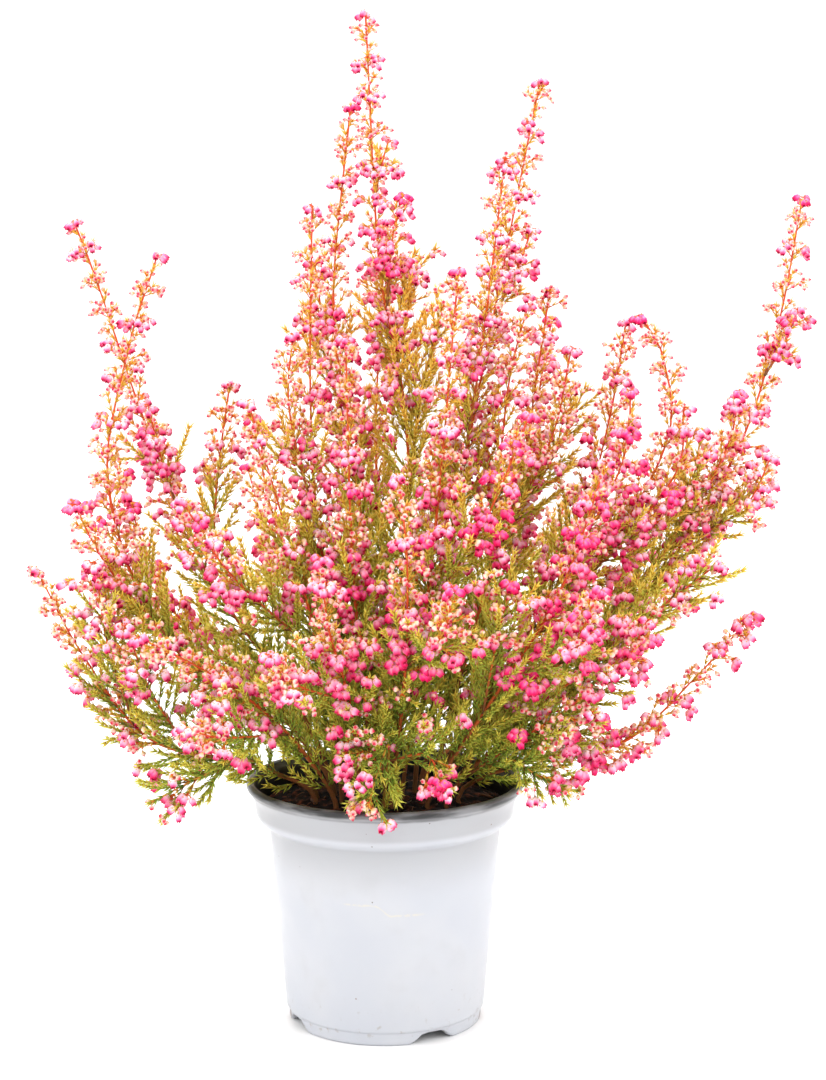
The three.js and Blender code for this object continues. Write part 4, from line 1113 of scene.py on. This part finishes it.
def banded(rings, apex, tip):
    """A closed form of revolution along Z: fans at the two ends and four-cornered bands between the rings."""
    sides = len(rings[0])
    side = np.arange(sides)
    turn = (side + 1) % sides
    points = np.concatenate([[[0, 0, apex]], *rings, [[0, 0, tip]]])
    last = 1 + (len(rings) - 1) * sides
    ends = np.concatenate([
        np.stack([np.zeros(sides, int), 1 + turn, 1 + side], axis=-1),
        np.stack([last + side, last + turn, np.full(sides, len(points) - 1)], axis=-1),
    ])
    return points, [1 + ring_quads(len(rings), sides), ends]


def bell_form():
    """An urn along Z of rings: narrow at the calyx, widest half way and drawn in at the mouth, whose ring
    stands out in four lobes round a throat that is sunk back to three quarters. Gives the form, its numbers
    along the flower, and how much deeper pink each point is: a painted highlight pales the lobes' middles,
    most at the belly, and painted shade deepens the seams and the calyx end."""
    lobe = np.where(np.arange(BELL_SIDES) % 2 == 0, 1.0, 0.0)
    rings = []
    marks = [[0.16]]
    # Painted highlight and shade: the calyx end and each ring's seams are deeper pink, its lobes paler
    painted_light_offset = [[0.1]]
    for level, radius, mark, rib in ((0.1, 0.76, 0.24, 0.12), (0.5, 0.98, 0.52, 0.2)):
        rings.append(round_ring(radius * (0.96 + 0.04 * lobe), level, BELL_SIDES))
        marks.append(np.full(BELL_SIDES, mark))
        painted_light_offset.append(rib * (0.6 - 1.6 * lobe))
    rings.append(round_ring(0.4 + 0.26 * lobe, 0.93 + 0.09 * lobe, BELL_SIDES))
    marks += [np.full(BELL_SIDES, 0.88), [1.0]]
    painted_light_offset.append(np.zeros(BELL_SIDES + 1))
    points, faces = banded(rings, 0.0, THROAT_LEVEL)
    points = points * (BELL_RADIUS / BELL_LENGTH, BELL_RADIUS / BELL_LENGTH, 1)
    return (points, faces), np.concatenate(marks), np.concatenate(painted_light_offset)


def calyx_form():
    """Four sepals as a cap: a point behind the bell, four tips over its shoulder and a point inside it."""
    points, faces = banded([round_ring(CALYX_RADIUS, CALYX_LEVEL, SEPALS, CALYX_TURN)], -0.14, 0.2)
    return (points, faces[1:]), np.array([0.0, *[0.11] * SEPALS, 0.05]), 0.0


def bud_form():
    """A small egg along Z: one ring between two points, rounded by its shading."""
    points, faces = banded([round_ring(BUD_RADIUS, 0.5, BUD_SIDES)], -0.05, 1.0)
    return (points, faces[1:]), np.array([0.02, *[0.56] * BUD_SIDES, 0.98]), 0.0


def joined(parts):
    """Lays the parts' points one after the other and shifts each part's corner numbers to match."""
    starts = np.cumsum([0] + [len(part[0]) for part in parts])
    faces = [face + start for part, start in zip(parts, starts) for face in part[1]]
    return np.concatenate([part[0] for part in parts]), faces, np.concatenate([part[2] for part in parts])


def umbels(twigs, kind, opened, blush, seed):
    """Bells or buds round each twig's tip: their stalks lean out from the twig's direction and droop, and a
    flower hangs on from each. There is one flower more to an umbel at the plant's front, and one less at its
    back. Bells are painted deeper pink inside the plant and at its back as painted shade; buds are pinker
    high up."""
    crowd, seed_step = UMBEL_KINDS[kind]
    dice = np.random.default_rng(seed + seed_step)
    tips = twigs["end"]
    _, directions = bent(twigs, np.ones(len(tips)))
    crowd = crowd + (tips[:, 1] < FRONT_FROM).astype(int) - (tips[:, 1] > BACK_FROM)
    count = dice.integers(crowd - 1, crowd + 2)
    which = np.repeat(np.arange(len(tips)), count)
    place = np.arange(count.sum()) - np.repeat(np.cumsum(count) - count, count)
    bell = opened[which] & (dice.random(len(which)) < BELL_SHARE)
    turn = 2 * np.pi * place / count[which] + which * 1.3 + dice.normal(0, 0.3, len(which))
    spread = STALK_LEAN + dice.normal(0, 0.32, len(which))
    away = leaning(directions[which], STALK_AXIS, turn, spread)
    reach = dice.uniform(*STALK_REACH, len(which))
    foot = tips[which] - directions[which] * dice.uniform(0, STALK_FOOT_BACK, len(which))[:, None]
    root = foot + away * reach[:, None]
    root[:, 2] -= np.where(bell, 0.3, 0.1) * reach
    axis = away * AXIS_KEEPS + dice.normal(0, 0.16, (len(which), 3))
    axis[:, 2] -= np.where(bell, 0.75, 0.3)
    axis = unit(axis)
    spins = dice.uniform(0, 2 * np.pi, len(which))

    high = np.clip((root[:, 2] - HIGH_FROM) / HIGH_OVER, 0, 1)
    # Painted shade: bells deep inside the plant and at its back are made a deeper pink
    behind = np.clip(root[:, 1] / BACK_OVER, 0, 1)
    deep = 0.85 * blush + 0.7 * depth_inside(root) + 0.3 * behind - 0.12 * high
    shade = np.where(bell, deep, 0.3 * blush + 0.4 * high)
    shade = shade + dice.normal(0, 0.23, len(tips))[which] + dice.normal(0, 0.09, len(which))
    shade = np.clip(shade, 0.01, 0.99)
    sizes = dice.uniform(0.84, 1.06, len(which))
    smaller = np.clip((root[:, 2] - SMALLER_FROM) / SMALLER_OVER, 0, 1)
    sizes *= np.where(bell, 1.02 - 0.24 * smaller, 1.04 - 0.22 * high)

    stalk = root + axis * ROOT_SINK - foot
    slim = needle_form()
    slim[0][:, :2] *= STALK_WIDTH
    long = np.linalg.norm(stalk, axis=1)
    parts = [set_out(slim, 0.04 * slim[0][:, 2], foot, unit(stalk), spins, long, 0.7 * shade[:, None])]
    for made, ones, length, (low, top) in (
        (bell_form(), bell, BELL_LENGTH, BELL_SHADES), (calyx_form(), bell, BELL_LENGTH, BELL_SHADES),
        (bud_form(), ~bell, BUD_LENGTH, BUD_SHADES),
    ):
        form, along, painted_light_offset = made
        shades = np.clip(low + (top - low) * (shade[ones, None] + painted_light_offset), low, top)
        parts.append(set_out(form, along, root[ones], axis[ones], spins[ones], sizes[ones] * length, shades))
    return joined(parts)


def shoot_umbels(stem, seed, leafy, bloom, upper, tip):
    """A shoot's umbels: on its tiers, closed ones on its upper twigs, on about a third of its needled twigs,
    more of them at the plant's front, and on its own tip where the needles end below it."""
    chance = LEAFY_BLOOM + FRONT_BLOOM * (leafy["end"][:, 1] < FRONT_FROM)
    outer = (draw(seed, np.arange(len(chance)), 5) < chance) & (leafy["share"] > 0.15)
    closed = np.zeros(len(upper["length"]), bool)
    groups = [
        umbels(bloom, "bloom", bloom["open"], stem["blush"], seed),
        umbels(upper, "upper", closed, 0.4, seed),
    ]
    if outer.any():
        opened = draw(seed, np.arange(outer.sum()), 6) < 0.5
        groups.append(umbels(chosen_of(leafy, outer), "leafy", opened, 0.6 * stem["blush"], seed))
    if not needled_to_tip(stem):
        groups.append(umbels(tip, "tip", np.array([True]), stem["blush"] + 0.1, seed))
    return groups


def bell_petal():
    """Four looks on one map. Pale bells and deep pink bells run from the calyx's tawny over the petal to the
    dark throat, cream buds and pink buds to a red tip. The shade mixes the bells, and above them the buds."""
    material, tree, shader = new_material("heath_bell", roughness=0.45, specular=0.15)
    _, along, shade = map_numbers(tree)
    calyx = ((0.0, 226, 84, 44), (0.05, 236, 120, 44), (0.115, 242, 156, 76))
    pale = painted_ramp(
        tree, along, *calyx, (0.16, 255, 224, 210), (0.3, 255, 242, 244), (0.54, 255, 204, 226),
        (0.74, 248, 104, 158), (0.88, 214, 24, 76), (0.95, 116, 0, 24),
    )
    deep = painted_ramp(
        tree, along, *calyx, (0.16, 252, 104, 158), (0.3, 254, 100, 170), (0.54, 248, 44, 132),
        (0.74, 232, 16, 92), (0.88, 212, 14, 72), (0.95, 100, 0, 22),
    )
    cream = painted_ramp(
        tree, along, (0.0, 228, 150, 62), (0.22, 250, 214, 150), (0.56, 254, 222, 208), (0.8, 226, 62, 84),
        (1.0, 160, 12, 40),
    )
    pink = painted_ramp(
        tree, along, (0.0, 226, 120, 56), (0.22, 244, 160, 110), (0.5, 244, 142, 164), (0.78, 222, 46, 92),
        (1.0, 160, 8, 40),
    )
    bell = mixed_colour(tree, share_between(tree, shade, 0.0, BELL_SHADES[1], "LINEAR"), pale, deep)
    bud = mixed_colour(tree, share_between(tree, shade, BUD_SHADES[0], PINKEST_BUD, "LINEAR"), cream, pink)
    is_bud = summed(tree, "GREATER_THAN", shade, BUDS_OVER)
    tree.links.new(mixed_colour(tree, is_bud, bell, bud), shader.inputs["Base Color"])
    return material


# Plants: the 28 heaths of the pot, put together from their stems, twigs, needles and bells. Each is one
# grown piece, and shows here as three: its wood, its needles and its bells.
SEEDS_PER_PLANT = 10

looks = {"wood": bark(), "needles": needle_green(), "bells": bell_petal()}


def make_plant(number, name, foot, shoots):
    """One plant as three pieces, which together stand for its spray. Each shoot has a seed of its own."""
    stems = stems_of(foot, shoots)
    parts = {"wood": [stem_rods(stems)], "needles": [], "bells": []}
    for shoot, stem in enumerate(stems):
        seed = number * SEEDS_PER_PLANT + shoot
        leafy = pooled(*(leafy_twigs(stem, seed, beside) for beside in range(3)))
        bloom = pooled(*(bloom_twigs(stem, seed, beside) for beside in range(3)))
        upper = upper_twigs(stem, seed)
        tip = end_twig(stem)
        if needled_to_tip(stem):
            leafy = pooled(leafy, tip)
        groups = {} if stem["fork"] else {"foot": foot_twigs(stem, seed)}
        groups.update(side=side_twigs(leafy, seed), leafy=leafy, bloom=bloom, upper=upper)
        for kind, twigs in groups.items():
            parts["wood"].append(twig_rods(twigs, ROD_KINDS[kind]))
            parts["needles"].append(needles_along(twigs, NEEDLE_KINDS[kind], seed))
        parts["needles"] += stem_needles(stem, seed)
        parts["bells"] += shoot_umbels(stem, seed, leafy, bloom, upper, tip)
    for kind, look in looks.items():
        points, faces, uv = joined(parts[kind])
        piece = make_piece(f"{kind}_{name}", points * MM, faces, look, uv)
        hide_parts(f"spray_{name}")
        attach(piece, "root")


for plant_number, (plant_name, (plant_foot, *plant_shoots)) in enumerate(PLANTS.items()):
    make_plant(plant_number, plant_name, plant_foot, plant_shoots)
